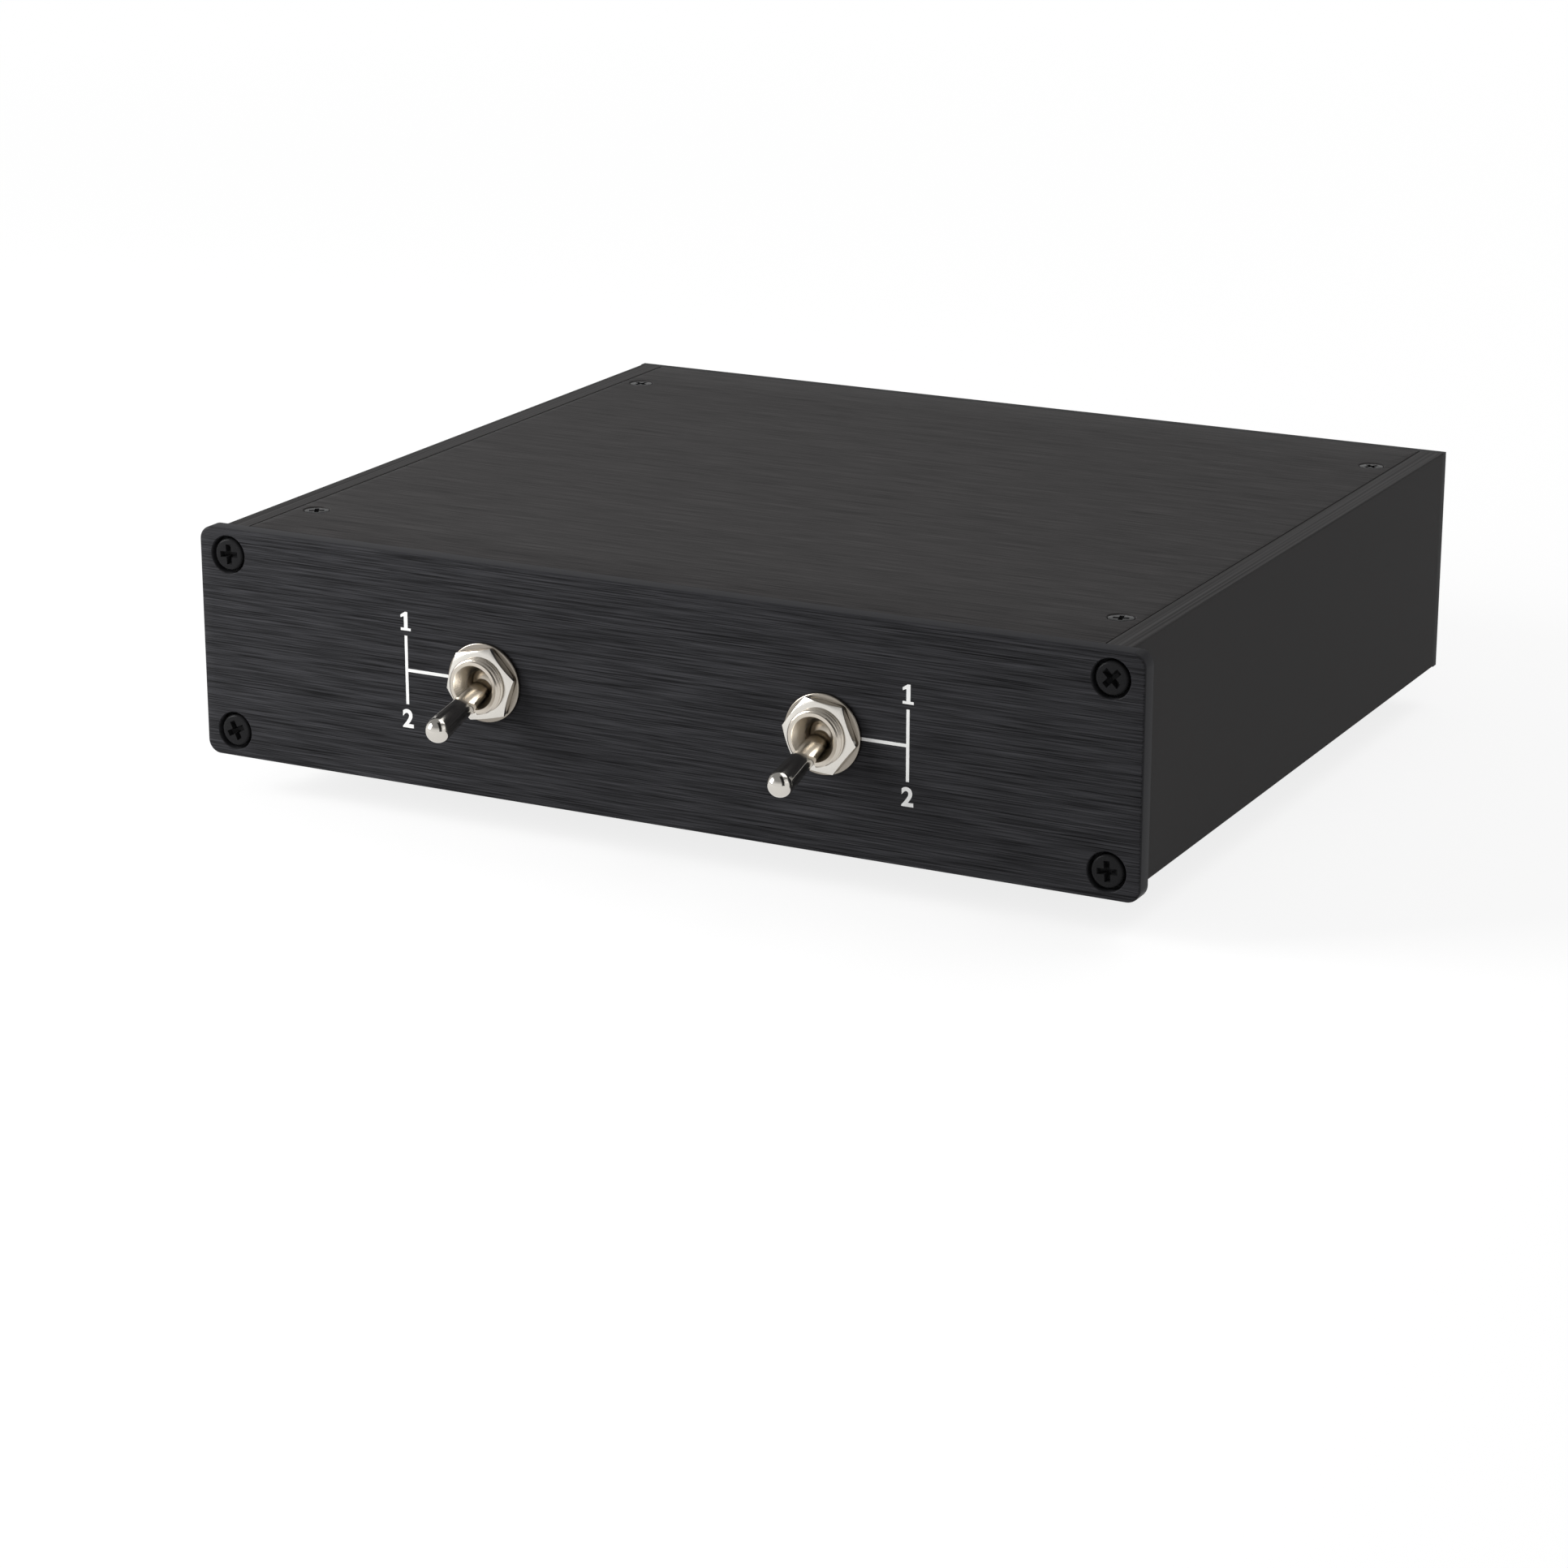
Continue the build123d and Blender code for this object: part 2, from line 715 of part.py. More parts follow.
with BuildPart() as post_inner_plates:
    for x in block_xs.values():
        with BuildSketch(facing_front(x, inner_plate_y, middle_z)):
            Rectangle(block_size, block_size)
            with Locations(*block_posts):
                RegularPolygon(stud_radius, thread_sides, mode=Mode.SUBTRACT)
        extrude(amount=-inner_plate_thickness)
save(post_inner_plates.part, "post_inner_plates")

with BuildPart() as post_studs:
    for x, z in posts.values():
        with BuildSketch(facing_front(x, stud_in_y, z)):
            RegularPolygon(stud_radius, thread_sides)
        extrude(amount=stud_in_y - stud_out_y)
        with BuildSketch(facing_front(x, block_y, z)):
            RegularPolygon(stud_flange_radius, thread_sides)
        extrude(amount=stud_flange_thickness)
        with BuildSketch(facing_front(x, stud_out_y, z)):
            Circle(socket_radius)
        extrude(amount=socket_depth, mode=Mode.SUBTRACT)
save(post_studs.part, "post_studs")

with BuildPart() as solder_tags:
    for block_x in block_xs.values():
        for column, row in post_places.values():
            post_x = block_x + column * post_pitch / 2
            with BuildSketch(facing_front(post_x, tag_y, middle_z + row * post_pitch / 2)):
                RegularPolygon(tag_radius, thread_sides)
                with Locations((column * tag_reach / 2, 0)):
                    Rectangle(tag_reach, tag_width)
                RegularPolygon(stud_radius, thread_sides, mode=Mode.SUBTRACT)
            extrude(amount=-tag_thickness)
save(solder_tags.part, "solder_tags")

with BuildPart() as post_nuts:
    for x, z in posts.values():
        with BuildSketch(facing_front(x, post_nut_y, z)):
            RegularPolygon(post_nut_across_flats / 2, nut_sides, major_radius=False)
            RegularPolygon(stud_radius, thread_sides, mode=Mode.SUBTRACT)
        extrude(amount=-post_nut_thickness)
save(post_nuts.part, "post_nuts")


def post_cap(x, z):
    """Insulated cap that screws along its stud, with a round opening for a plug in its end."""
    with BuildPart() as cap:
        with BuildSketch(facing_front(x, cap_y, z)):
            RegularPolygon(cap_radius, cap_sides)
        extrude(amount=-cap_length)
        chamfer(cap.faces().sort_by(Axis.Y)[-1].edges(), cap_chamfer)
        with BuildSketch(facing_front(x, cap_y, z)):
            RegularPolygon(stud_radius + cap_clearance, thread_sides)
        extrude(amount=cap_end_wall - cap_length, mode=Mode.SUBTRACT)
        with BuildSketch(facing_front(x, cap_y, z)):
            RegularPolygon(cap_opening_radius, cap_sides)
        extrude(amount=-cap_length, mode=Mode.SUBTRACT)
    return cap.part


for name, (x, z) in posts.items():
    save(post_cap(x, z), f"{name}_cap")


# ---------------------------------------------------------------- wiring
def arc_radii(route):
    """Radius of each corner of a wire's route, as large as its two runs allow."""
    radii = []
    for before, corner, after in zip(route, route[1:], route[2:]):
        run_in = Vector(*corner) - Vector(*before)
        run_out = Vector(*after) - Vector(*corner)
        half_turn = radians(run_in.get_angle(run_out)) / 2
        radii.append(arc_share * min(run_in.length, run_out.length) / tan(half_turn))
    return radii


def wire_tube(route):
    """Insulated wire along straight runs joined by tangent arcs."""
    radii = arc_radii(route)
    with BuildPart() as tube:
        with BuildLine() as path:
            FilletPolyline(*route, radius=radii)
        with BuildSketch(Plane(origin=path.line @ 0, z_dir=path.line % 0)) as section:
            RegularPolygon(wire_radius, wire_sides)
        sweep()
    length = path.wire().length
    share = tube.part.volume / (section.sketch.area * length)
    print(f"wire {length:.1f} mm, tightest arc {min(radii):.1f}, volume share {share:.4f}")
    return tube.part


def fan_route(lug_x, lug_z, post_x, post_z):
    """Points from a switch lug to a post's tag: across in X first, up or down only beyond half way."""
    turn_y = lug_end_y + fan_straight
    join_y = tag_y - fan_straight
    return [
        (lug_x, lug_end_y, lug_z),
        (lug_x, turn_y, lug_z),
        ((lug_x + post_x) / 2, (turn_y + join_y) / 2, lug_z - wire_sag),
        (post_x, join_y, post_z),
        (post_x, tag_y, post_z),
    ]


def link_route(index):
    """Points from a common lug of one switch to the same pole of the other, at a level of its own."""
    level = middle_z + ((pole_count - 1) / 2 - index) * link_level_pitch
    cross_y = lug_end_y + link_start + index * link_step
    corner_y = cross_y - link_corner
    lead_y = lug_end_y + link_lead * (corner_y - lug_end_y)
    left_x = switch_xs["left"] + pole_offsets[index]
    right_x = switch_xs["right"] + pole_offsets[index]
    return [
        (left_x, lug_end_y, middle_z),
        (left_x, lead_y, middle_z),
        (left_x, corner_y, level),
        (left_x + link_corner, cross_y, level),
        ((left_x + right_x) / 2, cross_y, level - wire_sag),
        (right_x - link_corner, cross_y, level),
        (right_x, corner_y, level),
        (right_x, lead_y, middle_z),
        (right_x, lug_end_y, middle_z),
    ]


def block_routes(block, side, lug_level, polarity):
    """Routes from one row of a switch's throw lugs to the posts of one polarity on a block."""
    routes = []
    for pole, (post, (column, row)) in zip(pole_offsets, post_places.items()):
        if post.endswith(polarity):
            lug_x = switch_xs[side] + pole
            ear_x = block_xs[block] + column * (post_pitch / 2 + ear_offset)
            ear_z = middle_z + row * post_pitch / 2
            routes.append(fan_route(lug_x, middle_z + lug_level, ear_x, ear_z))
    return routes


# Red wires serve the plus posts and black ones the minus posts. The lower lugs of each switch serve
# the first block of its family, and the upper lugs the second.
wire_groups = {
    f"{colour}_wires": [
        route
        for family, side in (("amp", "left"), ("speaker", "right"))
        for number, level in ((1, -throw_offset), (2, throw_offset))
        for route in block_routes(f"{family}_{number}", side, level, polarity)
    ]
    for colour, polarity in (("red", "plus"), ("black", "minus"))
}
wire_groups["link_wires"] = [link_route(index) for index in range(pole_count)]

for label, routes in wire_groups.items():
    tubes = [wire_tube(route) for route in routes]
    with BuildPart() as wires:
        add(tubes)
    save(wires.part, label)
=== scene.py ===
import json
from math import asin, atan2, cos, pi, radians, sin, sqrt, tan, tau

import bmesh
import bpy
from mathutils import Matrix, Vector


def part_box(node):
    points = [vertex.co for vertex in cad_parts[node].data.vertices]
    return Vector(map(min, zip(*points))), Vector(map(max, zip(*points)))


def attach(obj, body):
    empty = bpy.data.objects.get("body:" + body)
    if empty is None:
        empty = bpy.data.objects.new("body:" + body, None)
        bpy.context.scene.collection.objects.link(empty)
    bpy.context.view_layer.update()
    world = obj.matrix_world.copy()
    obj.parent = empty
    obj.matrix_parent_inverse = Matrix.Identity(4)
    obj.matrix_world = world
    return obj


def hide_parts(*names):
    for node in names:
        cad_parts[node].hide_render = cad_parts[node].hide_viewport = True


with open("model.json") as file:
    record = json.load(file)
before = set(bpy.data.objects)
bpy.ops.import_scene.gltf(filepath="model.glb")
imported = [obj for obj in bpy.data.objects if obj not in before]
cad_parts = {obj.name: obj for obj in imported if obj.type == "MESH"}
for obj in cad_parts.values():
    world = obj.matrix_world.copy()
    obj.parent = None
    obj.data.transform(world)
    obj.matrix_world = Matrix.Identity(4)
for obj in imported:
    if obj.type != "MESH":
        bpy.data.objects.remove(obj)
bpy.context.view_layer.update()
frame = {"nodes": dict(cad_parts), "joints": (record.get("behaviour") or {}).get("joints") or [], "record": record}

bl_info = {
    "name": "Speaker Selector Switch",
    "version": (1, 0, 0),
    "blender": (4, 5, 0),
    "location": "View3D > Sidebar > Selector",
    "description": "Builds the finished pieces of a two-way speaker selector around its packed model",
    "category": "Add Mesh",
}

# Shapes are made in millimetres about their own origin, and set in place in metres.
MM = 0.001
# How far a cutter reaches past the face it cuts, in millimetres.
PAST = 1
# Half the floor's width, in metres.
FLOOR_REACH = 12

# ---------------------------------------------------------------- places, from the frame
PANEL_LOW, PANEL_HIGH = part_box("front_panel")
FRONT_Y = PANEL_LOW.y
BODY_Y = PANEL_HIGH.y
BOTTOM_Z = PANEL_LOW.z
TOP_Z = PANEL_HIGH.z
MIDDLE_Z = (BOTTOM_Z + TOP_Z) / 2
REAR_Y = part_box("rear_panel")[1].y
SIDES = ("left", "right")
PIVOTS = {
    joint["name"].removesuffix("_lever"): Vector(joint["pos_m"])
    for joint in frame["joints"]
    if joint["name"].endswith("_lever")
}
SOCKETS = {
    mount["name"].removesuffix("_socket"): Vector(mount["pos_m"])
    for mount in frame["record"]["mounts"]
    if mount["name"].endswith("_socket")
}
FACINGS = {
    "front": Matrix.Rotation(pi / 2, 4, "X"),
    "back": Matrix.Rotation(pi, 4, "Z") @ Matrix.Rotation(pi / 2, 4, "X"),
    "up": Matrix.Identity(4),
    "down": Matrix.Rotation(pi, 4, "X"),
}


# ---------------------------------------------------------------- small helpers
def linear(code):
    """Linear RGBA of an sRGB hex colour."""
    parts = [int(code[i : i + 2], 16) / 255 for i in (1, 3, 5)]
    return (*[c / 12.92 if c <= 0.04045 else ((c + 0.055) / 1.055) ** 2.4 for c in parts], 1.0)


def stand(x, y, z, facing, turn=0.0):
    """Matrix that stands a shape in millimetres at a place in metres, its Z axis towards a side."""
    rotation = FACINGS[facing] @ Matrix.Rotation(turn, 4, "Z")
    return Matrix.Translation((x, y, z)) @ rotation @ Matrix.Scale(MM, 4)


def add(tree, kind, *values, inputs=None, **settings):
    """Adds a node with its settings. A value is a constant, or a node or socket to link from."""
    made = tree.nodes.new(kind)
    for key, value in settings.items():
        setattr(made, key, value)
    for key, value in [*enumerate(values), *(inputs or {}).items()]:
        source = value.outputs[0] if isinstance(value, bpy.types.Node) else value
        if isinstance(source, bpy.types.NodeSocket):
            tree.links.new(source, made.inputs[key])
        elif source is not None:
            made.inputs[key].default_value = source
    return made


# ---------------------------------------------------------------- meshes
def eased(corners, steps=4):
    """Points of an outline whose corners, each (x, y, radius), are rounded with arcs."""
    points = []
    for i, (x, y, radius) in enumerate(corners):
        corner = Vector((x, y))
        if not radius:
            points.append(corner)
            continue
        before = (Vector(corners[i - 1][:2]) - corner).normalized()
        after = (Vector(corners[(i + 1) % len(corners)][:2]) - corner).normalized()
        half = before.angle(after) / 2
        centre = corner + (before + after).normalized() * (radius / sin(half))
        start = corner + before * (radius / tan(half)) - centre
        end = corner + after * (radius / tan(half)) - centre
        shares = [step / steps for step in range(steps + 1)]
        points += [centre + start.slerp(end, share).normalized() * radius for share in shares]
    return points


def skin(rings, closed=False):
    """Mesh through rings of points; a ring of one point is a tip. Open ends get a flat face."""
    bm = bmesh.new()
    loops = [[bm.verts.new(point) for point in ring] for ring in rings]
    for ring, other in zip(loops, loops[1:] + (loops[:1] if closed else [])):
        for i in range(max(len(ring), len(other))):
            a, b = i % len(ring), (i + 1) % len(ring)
            c, d = (i + 1) % len(other), i % len(other)
            corners = dict.fromkeys((ring[a], ring[b], other[c], other[d]))
            if len(corners) > 2:
                bm.faces.new(corners)
    for ring in () if closed else (loops[0], loops[-1]):
        if len(ring) > 2:
            bm.faces.new(ring)
    bmesh.ops.recalc_face_normals(bm, faces=bm.faces)
    mesh = bpy.data.meshes.new("skin")
    bm.to_mesh(mesh)
    bm.free()
    return mesh


def turned(profile, steps=48):
    """Mesh turned about Z from a closed profile of (radius, height) points."""
    rings = []
    for radius, height in profile:
        count = steps if radius > 0 else 1
        angles = [tau * i / count for i in range(count)]
        rings.append([(radius * cos(angle), radius * sin(angle), height) for angle in angles])
    return skin(rings, closed=True)


def lathe(*points, steps=48):
    """Solid turned about Z through (radius, height) points, closed along its axis."""
    return turned([(0, points[0][1]), *points, (0, points[-1][1])], steps)


def cross_hole(radius, half):
    """Cutter for a pin's hole along X, half as long as given to each side."""
    hole = lathe((radius, -half), (radius, half), steps=24)
    hole.transform(Matrix.Rotation(pi / 2, 4, "Y"))
    return hole


def arc(radius, start, end, rise=0.0, steps=16):
    """Points of an arc from one angle to another, about a centre on the second axis."""
    angles = [start + (end - start) * i / steps for i in range(steps + 1)]
    return [Vector((radius * cos(angle), rise + radius * sin(angle))) for angle in angles]


def plate(width, height, thickness, corner, face_edge, back_edge=0.0, steps=6):
    """Flat plate about Z, its back at 0, with rounded corners and eased edges."""
    least_radius = 0.01

    def ring(inset, level):
        half_x, half_y, radius = width / 2 - inset, height / 2 - inset, max(corner - inset, least_radius)
        signs = ((1, 1), (-1, 1), (-1, -1), (1, -1))
        outline = eased([(x * half_x, y * half_y, radius) for x, y in signs], steps)
        return [(*point, level) for point in outline]

    quarter = [pi / 2 * i / 4 for i in range(5)]
    rings = [ring(0, 0)]
    if back_edge:
        rings = [ring(back_edge * (1 - sin(a)), back_edge * (1 - cos(a))) for a in quarter]
    rings += [ring(face_edge * (1 - cos(a)), thickness - face_edge * (1 - sin(a))) for a in quarter]
    return skin(rings)


def joined(parts):
    """One mesh from several, each given with the matrix that places it."""
    bm = bmesh.new()
    for mesh, place in parts:
        copy = mesh.copy()
        copy.transform(place)
        bm.from_mesh(copy)
        bpy.data.meshes.remove(copy)
    mesh = bpy.data.meshes.new("joined")
    bm.to_mesh(mesh)
    bm.free()
    return mesh


def evaluated(holder):
    """Plain mesh of an object with its modifiers applied; the object is then deleted."""
    bpy.context.view_layer.update()
    graph = bpy.context.evaluated_depsgraph_get()
    mesh = bpy.data.meshes.new_from_object(holder.evaluated_get(graph))
    holder.modifiers.clear()
    bpy.data.objects.remove(holder)
    return mesh


def linked(data, name="bench"):
    """Object of some data, in the scene."""
    made = bpy.data.objects.new(name, data)
    bpy.context.scene.collection.objects.link(made)
    return made


def carve(body, tool, operation="DIFFERENCE"):
    """Cuts, joins or trims one mesh with another."""
    holder, knife = linked(body), linked(tool)
    modifier = holder.modifiers.new("carve", "BOOLEAN")
    modifier.operation = operation
    modifier.solver = "EXACT"
    modifier.object = knife
    mesh = evaluated(holder)
    bpy.data.objects.remove(knife)
    return mesh


def piece(name, mesh, body, finish, slot, *nodes, place=None, sharp=32):
    """Puts a finished mesh in the scene: it rides on a body and stands for the named nodes."""
    if place:
        mesh.transform(place)
    mesh.materials.clear()
    mesh.materials.append(finish)
    mesh.shade_smooth()
    mesh.set_sharp_from_angle(angle=radians(sharp))
    made = linked(mesh, name)
    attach(made, body)
    if nodes:
        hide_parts(*nodes)
    return made


def dress(node, finish):
    """Gives a CAD node its finish."""
    materials = frame["nodes"][node].data.materials
    materials.clear()
    materials.append(finish)


# ---------------------------------------------------------------- geometry trees
def new_tree(name, **sockets):
    """Geometry tree with named inputs of given kinds; returns it with its group input's sockets."""
    tree = bpy.data.node_groups.new(name, "GeometryNodeTree")
    tree.interface.new_socket("Geometry", in_out="INPUT", socket_type="NodeSocketGeometry")
    for label, kind in sockets.items():
        tree.interface.new_socket(label.replace("_", " "), in_out="INPUT", socket_type=f"NodeSocket{kind}")
    tree.interface.new_socket("Geometry", in_out="OUTPUT", socket_type="NodeSocketGeometry")
    return tree, tree.nodes.new("NodeGroupInput").outputs


def end_tree(tree, geometry, finish):
    """Ends a tree in Realize Instances and Set Material."""
    real = add(tree, "GeometryNodeRealizeInstances", geometry)
    painted = add(tree, "GeometryNodeSetMaterial", real, inputs={"Material": finish})
    add(tree, "NodeGroupOutput", painted)


def grow(tree, source=None, **values):
    """Plain mesh that a tree makes from a source mesh or curve and its inputs' values."""
    holder = linked(source or bpy.data.meshes.new("seed"))
    modifier = holder.modifiers.new("grow", "NODES")
    modifier.node_group = tree
    inputs = [item for item in tree.interface.items_tree if item.in_out == "INPUT"]
    sockets = {item.name: item.identifier for item in inputs}
    for label, value in values.items():
        modifier[sockets[label.replace("_", " ")]] = value
    return evaluated(holder)


def thread_tree():
    """Threaded rod along Z: a grid's rows follow a flat-crested helix, and both ends are chamfered."""
    tree, given = new_tree(
        "threaded rod", Radius="Float", Length="Float", Pitch="Float", Depth="Float",
        Steps="Int", Rows_per_turn="Int", Finish="Material",
    )
    turns = add(tree, "ShaderNodeMath", given["Length"], given["Pitch"], operation="DIVIDE")
    turns = add(tree, "ShaderNodeMath", turns, 1.0, operation="ADD")
    rows = add(tree, "ShaderNodeMath", turns, given["Rows per turn"], operation="MULTIPLY")
    rows = add(tree, "ShaderNodeMath", rows, operation="CEIL")
    columns = add(tree, "ShaderNodeMath", given["Steps"], 1.0, operation="ADD")
    lines = add(tree, "ShaderNodeMath", rows, 1.0, operation="ADD")
    grid = add(
        tree, "GeometryNodeMeshGrid",
        inputs={"Size X": 1.0, "Size Y": 1.0, "Vertices X": columns, "Vertices Y": lines},
    )
    flat = add(tree, "ShaderNodeSeparateXYZ", add(tree, "GeometryNodeInputPosition"))
    across = add(tree, "ShaderNodeMath", flat.outputs["X"], 0.5, operation="ADD")
    along = add(tree, "ShaderNodeMath", flat.outputs["Y"], 0.5, operation="ADD")
    row = add(tree, "ShaderNodeMath", along, rows, operation="MULTIPLY")
    row = add(tree, "ShaderNodeMath", row, operation="ROUND")
    wound = add(tree, "ShaderNodeMath", row, given["Rows per turn"], operation="DIVIDE")
    level = add(tree, "ShaderNodeMath", wound, across, operation="ADD")
    level = add(tree, "ShaderNodeMath", level, 1.0, operation="SUBTRACT")
    level = add(tree, "ShaderNodeMath", level, given["Pitch"], operation="MULTIPLY")
    level = add(tree, "ShaderNodeClamp", level, 0.0, given["Length"])
    ridge = add(tree, "ShaderNodeMath", wound, 0.5, operation="PINGPONG")
    ridge = add(tree, "ShaderNodeMapRange", ridge, 0.2, 0.5, 0.0, 1.0)
    ridge = add(tree, "ShaderNodeMath", ridge, given["Depth"], operation="MULTIPLY")
    crest = add(tree, "ShaderNodeMath", given["Radius"], ridge, operation="SUBTRACT")
    root = add(tree, "ShaderNodeMath", given["Radius"], given["Depth"], operation="SUBTRACT")
    far = add(tree, "ShaderNodeMath", given["Length"], level, operation="SUBTRACT")
    near = add(tree, "ShaderNodeMath", level, far, operation="MINIMUM")
    runout = add(tree, "ShaderNodeMath", root, near, operation="ADD")
    radius = add(tree, "ShaderNodeMath", crest, runout, operation="MINIMUM")
    angle = add(tree, "ShaderNodeMath", across, tau, operation="MULTIPLY")
    x = add(tree, "ShaderNodeMath", angle, operation="COSINE")
    x = add(tree, "ShaderNodeMath", radius, x, operation="MULTIPLY")
    y = add(tree, "ShaderNodeMath", angle, operation="SINE")
    y = add(tree, "ShaderNodeMath", radius, y, operation="MULTIPLY")
    place = add(tree, "ShaderNodeCombineXYZ", x, y, level)
    wall = add(tree, "GeometryNodeSetPosition", grid, inputs={"Position": place})
    rim = {"Vertices": given["Steps"], "Radius": root}
    disc = add(tree, "GeometryNodeMeshCircle", fill_type="NGON", inputs=rim)
    lift = add(tree, "ShaderNodeCombineXYZ", 0.0, 0.0, given["Length"])
    lid = add(tree, "GeometryNodeTransform", disc, inputs={"Translation": lift})
    shell = add(tree, "GeometryNodeJoinGeometry")
    for part in (lid, add(tree, "GeometryNodeFlipFaces", disc), wall):
        tree.links.new(part.outputs[0], shell.inputs[0])
    merged = add(tree, "GeometryNodeMergeByDistance", shell, inputs={"Distance": 0.001})
    end_tree(tree, merged, given["Finish"])
    return tree


def repeat_tree():
    """A piece set on every point, turned as the point's facing attribute says."""
    tree, given = new_tree("repeated piece", Piece="Object", Scale="Float", Finish="Material")
    shape = add(tree, "GeometryNodeObjectInfo", inputs={"Object": given["Piece"]})
    facing = add(tree, "GeometryNodeInputNamedAttribute", "facing", data_type="FLOAT_VECTOR")
    copies = add(
        tree, "GeometryNodeInstanceOnPoints", given["Geometry"],
        inputs={"Instance": shape.outputs["Geometry"], "Rotation": facing, "Scale": given["Scale"]},
    )
    end_tree(tree, copies, given["Finish"])
    return tree


def flute_tree():
    """Grip flutes pressed into the outer wall of a turned piece between two heights."""
    tree, given = new_tree(
        "fluted grip", Flutes="Int", Depth="Float", From="Float", To="Float", Run_out="Float",
        Least_radius="Float", Finish="Material",
    )
    at = add(tree, "ShaderNodeSeparateXYZ", add(tree, "GeometryNodeInputPosition"))
    angle = add(tree, "ShaderNodeMath", at.outputs["Y"], at.outputs["X"], operation="ARCTAN2")
    wave = add(tree, "ShaderNodeMath", angle, given["Flutes"], operation="MULTIPLY")
    wave = add(tree, "ShaderNodeMath", wave, operation="COSINE")
    wave = add(tree, "ShaderNodeMath", wave, 1.0, operation="ADD")
    wave = add(tree, "ShaderNodeMath", wave, 0.5, operation="MULTIPLY")
    flat = add(tree, "ShaderNodeCombineXYZ", at.outputs["X"], at.outputs["Y"], 0.0)
    reach = add(tree, "ShaderNodeVectorMath", flat, operation="LENGTH").outputs["Value"]
    outer = add(tree, "ShaderNodeMath", reach, given["Least radius"], operation="GREATER_THAN")
    depth = add(tree, "ShaderNodeMath", wave, given["Depth"], operation="MULTIPLY")
    depth = add(tree, "ShaderNodeMath", depth, outer, operation="MULTIPLY")
    for end, inwards in (("From", "ADD"), ("To", "SUBTRACT")):
        full = add(tree, "ShaderNodeMath", given[end], given["Run out"], operation=inwards)
        fade = add(tree, "ShaderNodeMapRange", at.outputs["Z"], given[end], full, 0.0, 1.0)
        fade.interpolation_type = "SMOOTHSTEP"
        depth = add(tree, "ShaderNodeMath", depth, fade, operation="MULTIPLY")
    depth = add(tree, "ShaderNodeMath", depth, -1.0, operation="MULTIPLY")
    inward = add(tree, "ShaderNodeVectorMath", flat, operation="NORMALIZE")
    offset = add(tree, "ShaderNodeVectorMath", inward, operation="SCALE", inputs={"Scale": depth})
    pressed = add(tree, "GeometryNodeSetPosition", given["Geometry"], inputs={"Offset": offset})
    end_tree(tree, pressed, given["Finish"])
    return tree


def coil_tree():
    """Coil spring along Z."""
    tree, given = new_tree(
        "coil spring", Radius="Float", Height="Float", Wire="Float", Turns="Float", Finish="Material"
    )
    path = add(
        tree, "GeometryNodeCurveSpiral",
        inputs={"Resolution": 24, "Rotations": given["Turns"], "Start Radius": given["Radius"],
                "End Radius": given["Radius"], "Height": given["Height"]},
    )
    round_wire = {"Resolution": 10, "Radius": given["Wire"]}
    ring = add(tree, "GeometryNodeCurvePrimitiveCircle", inputs=round_wire).outputs["Curve"]
    wire = add(tree, "GeometryNodeCurveToMesh", path, inputs={"Profile Curve": ring, "Fill Caps": True})
    end_tree(tree, wire, given["Finish"])
    return tree


def repeated(master, places, finish):
    """One plain mesh with a copy of a piece at each place."""
    points = bpy.data.meshes.new("places")
    points.from_pydata([place.to_translation() for place in places], [], [])
    facing = points.attributes.new("facing", "FLOAT_VECTOR", "POINT")
    for entry, place in zip(facing.data, places):
        entry.vector = place.decompose()[1].to_euler()
    pattern = linked(master)
    mesh = grow(repeat_tree(), points, Piece=pattern, Scale=MM, Finish=finish)
    bpy.data.objects.remove(pattern)
    return mesh


# ---------------------------------------------------------------- finishes
def new_finish(name, roughness, metallic=0.0, **constants):
    """Material with a Principled shader; returns it, its tree and the shader."""
    made = bpy.data.materials.new(name)
    made.use_nodes = True
    shader = made.node_tree.nodes["Principled BSDF"]
    for label, value in {"Roughness": roughness, "Metallic": metallic, **constants}.items():
        shader.inputs[label.replace("_", " ")].default_value = value
    return made, made.node_tree, shader


def noise(tree, size_mm, detail):
    """Noise whose features measure about size_mm, an (x, y, z) size in millimetres."""
    coords = add(tree, "ShaderNodeTexCoord").outputs["Object"]
    scale = [1 / (MM * size) for size in size_mm]
    mapped = add(tree, "ShaderNodeMapping", coords, inputs={"Scale": scale})
    return add(tree, "ShaderNodeTexNoise", mapped, inputs={"Scale": 1.0, "Detail": detail, "Roughness": 0.6})


def bump(tree, shader, height, depth_mm):
    """Relief of a real depth from a pattern between 0 and 1."""
    sizes = {"Strength": 1.0, "Distance": depth_mm * MM, "Height": height}
    relief = add(tree, "ShaderNodeBump", inputs=sizes)
    tree.links.new(relief.outputs[0], shader.inputs["Normal"])


def only_facing(tree, axis, pattern):
    """A pattern as it is on faces square to an axis, and even elsewhere."""
    normal = add(tree, "ShaderNodeSeparateXYZ", add(tree, "ShaderNodeNewGeometry").outputs["Normal"])
    square = add(tree, "ShaderNodeMath", normal.outputs[axis], operation="ABSOLUTE")
    square = add(tree, "ShaderNodeMapRange", square, 0.5, 0.9, 0.0, 1.0)
    return add(tree, "ShaderNodeMix", square, data_type="FLOAT", inputs={2: 0.5, 3: pattern})


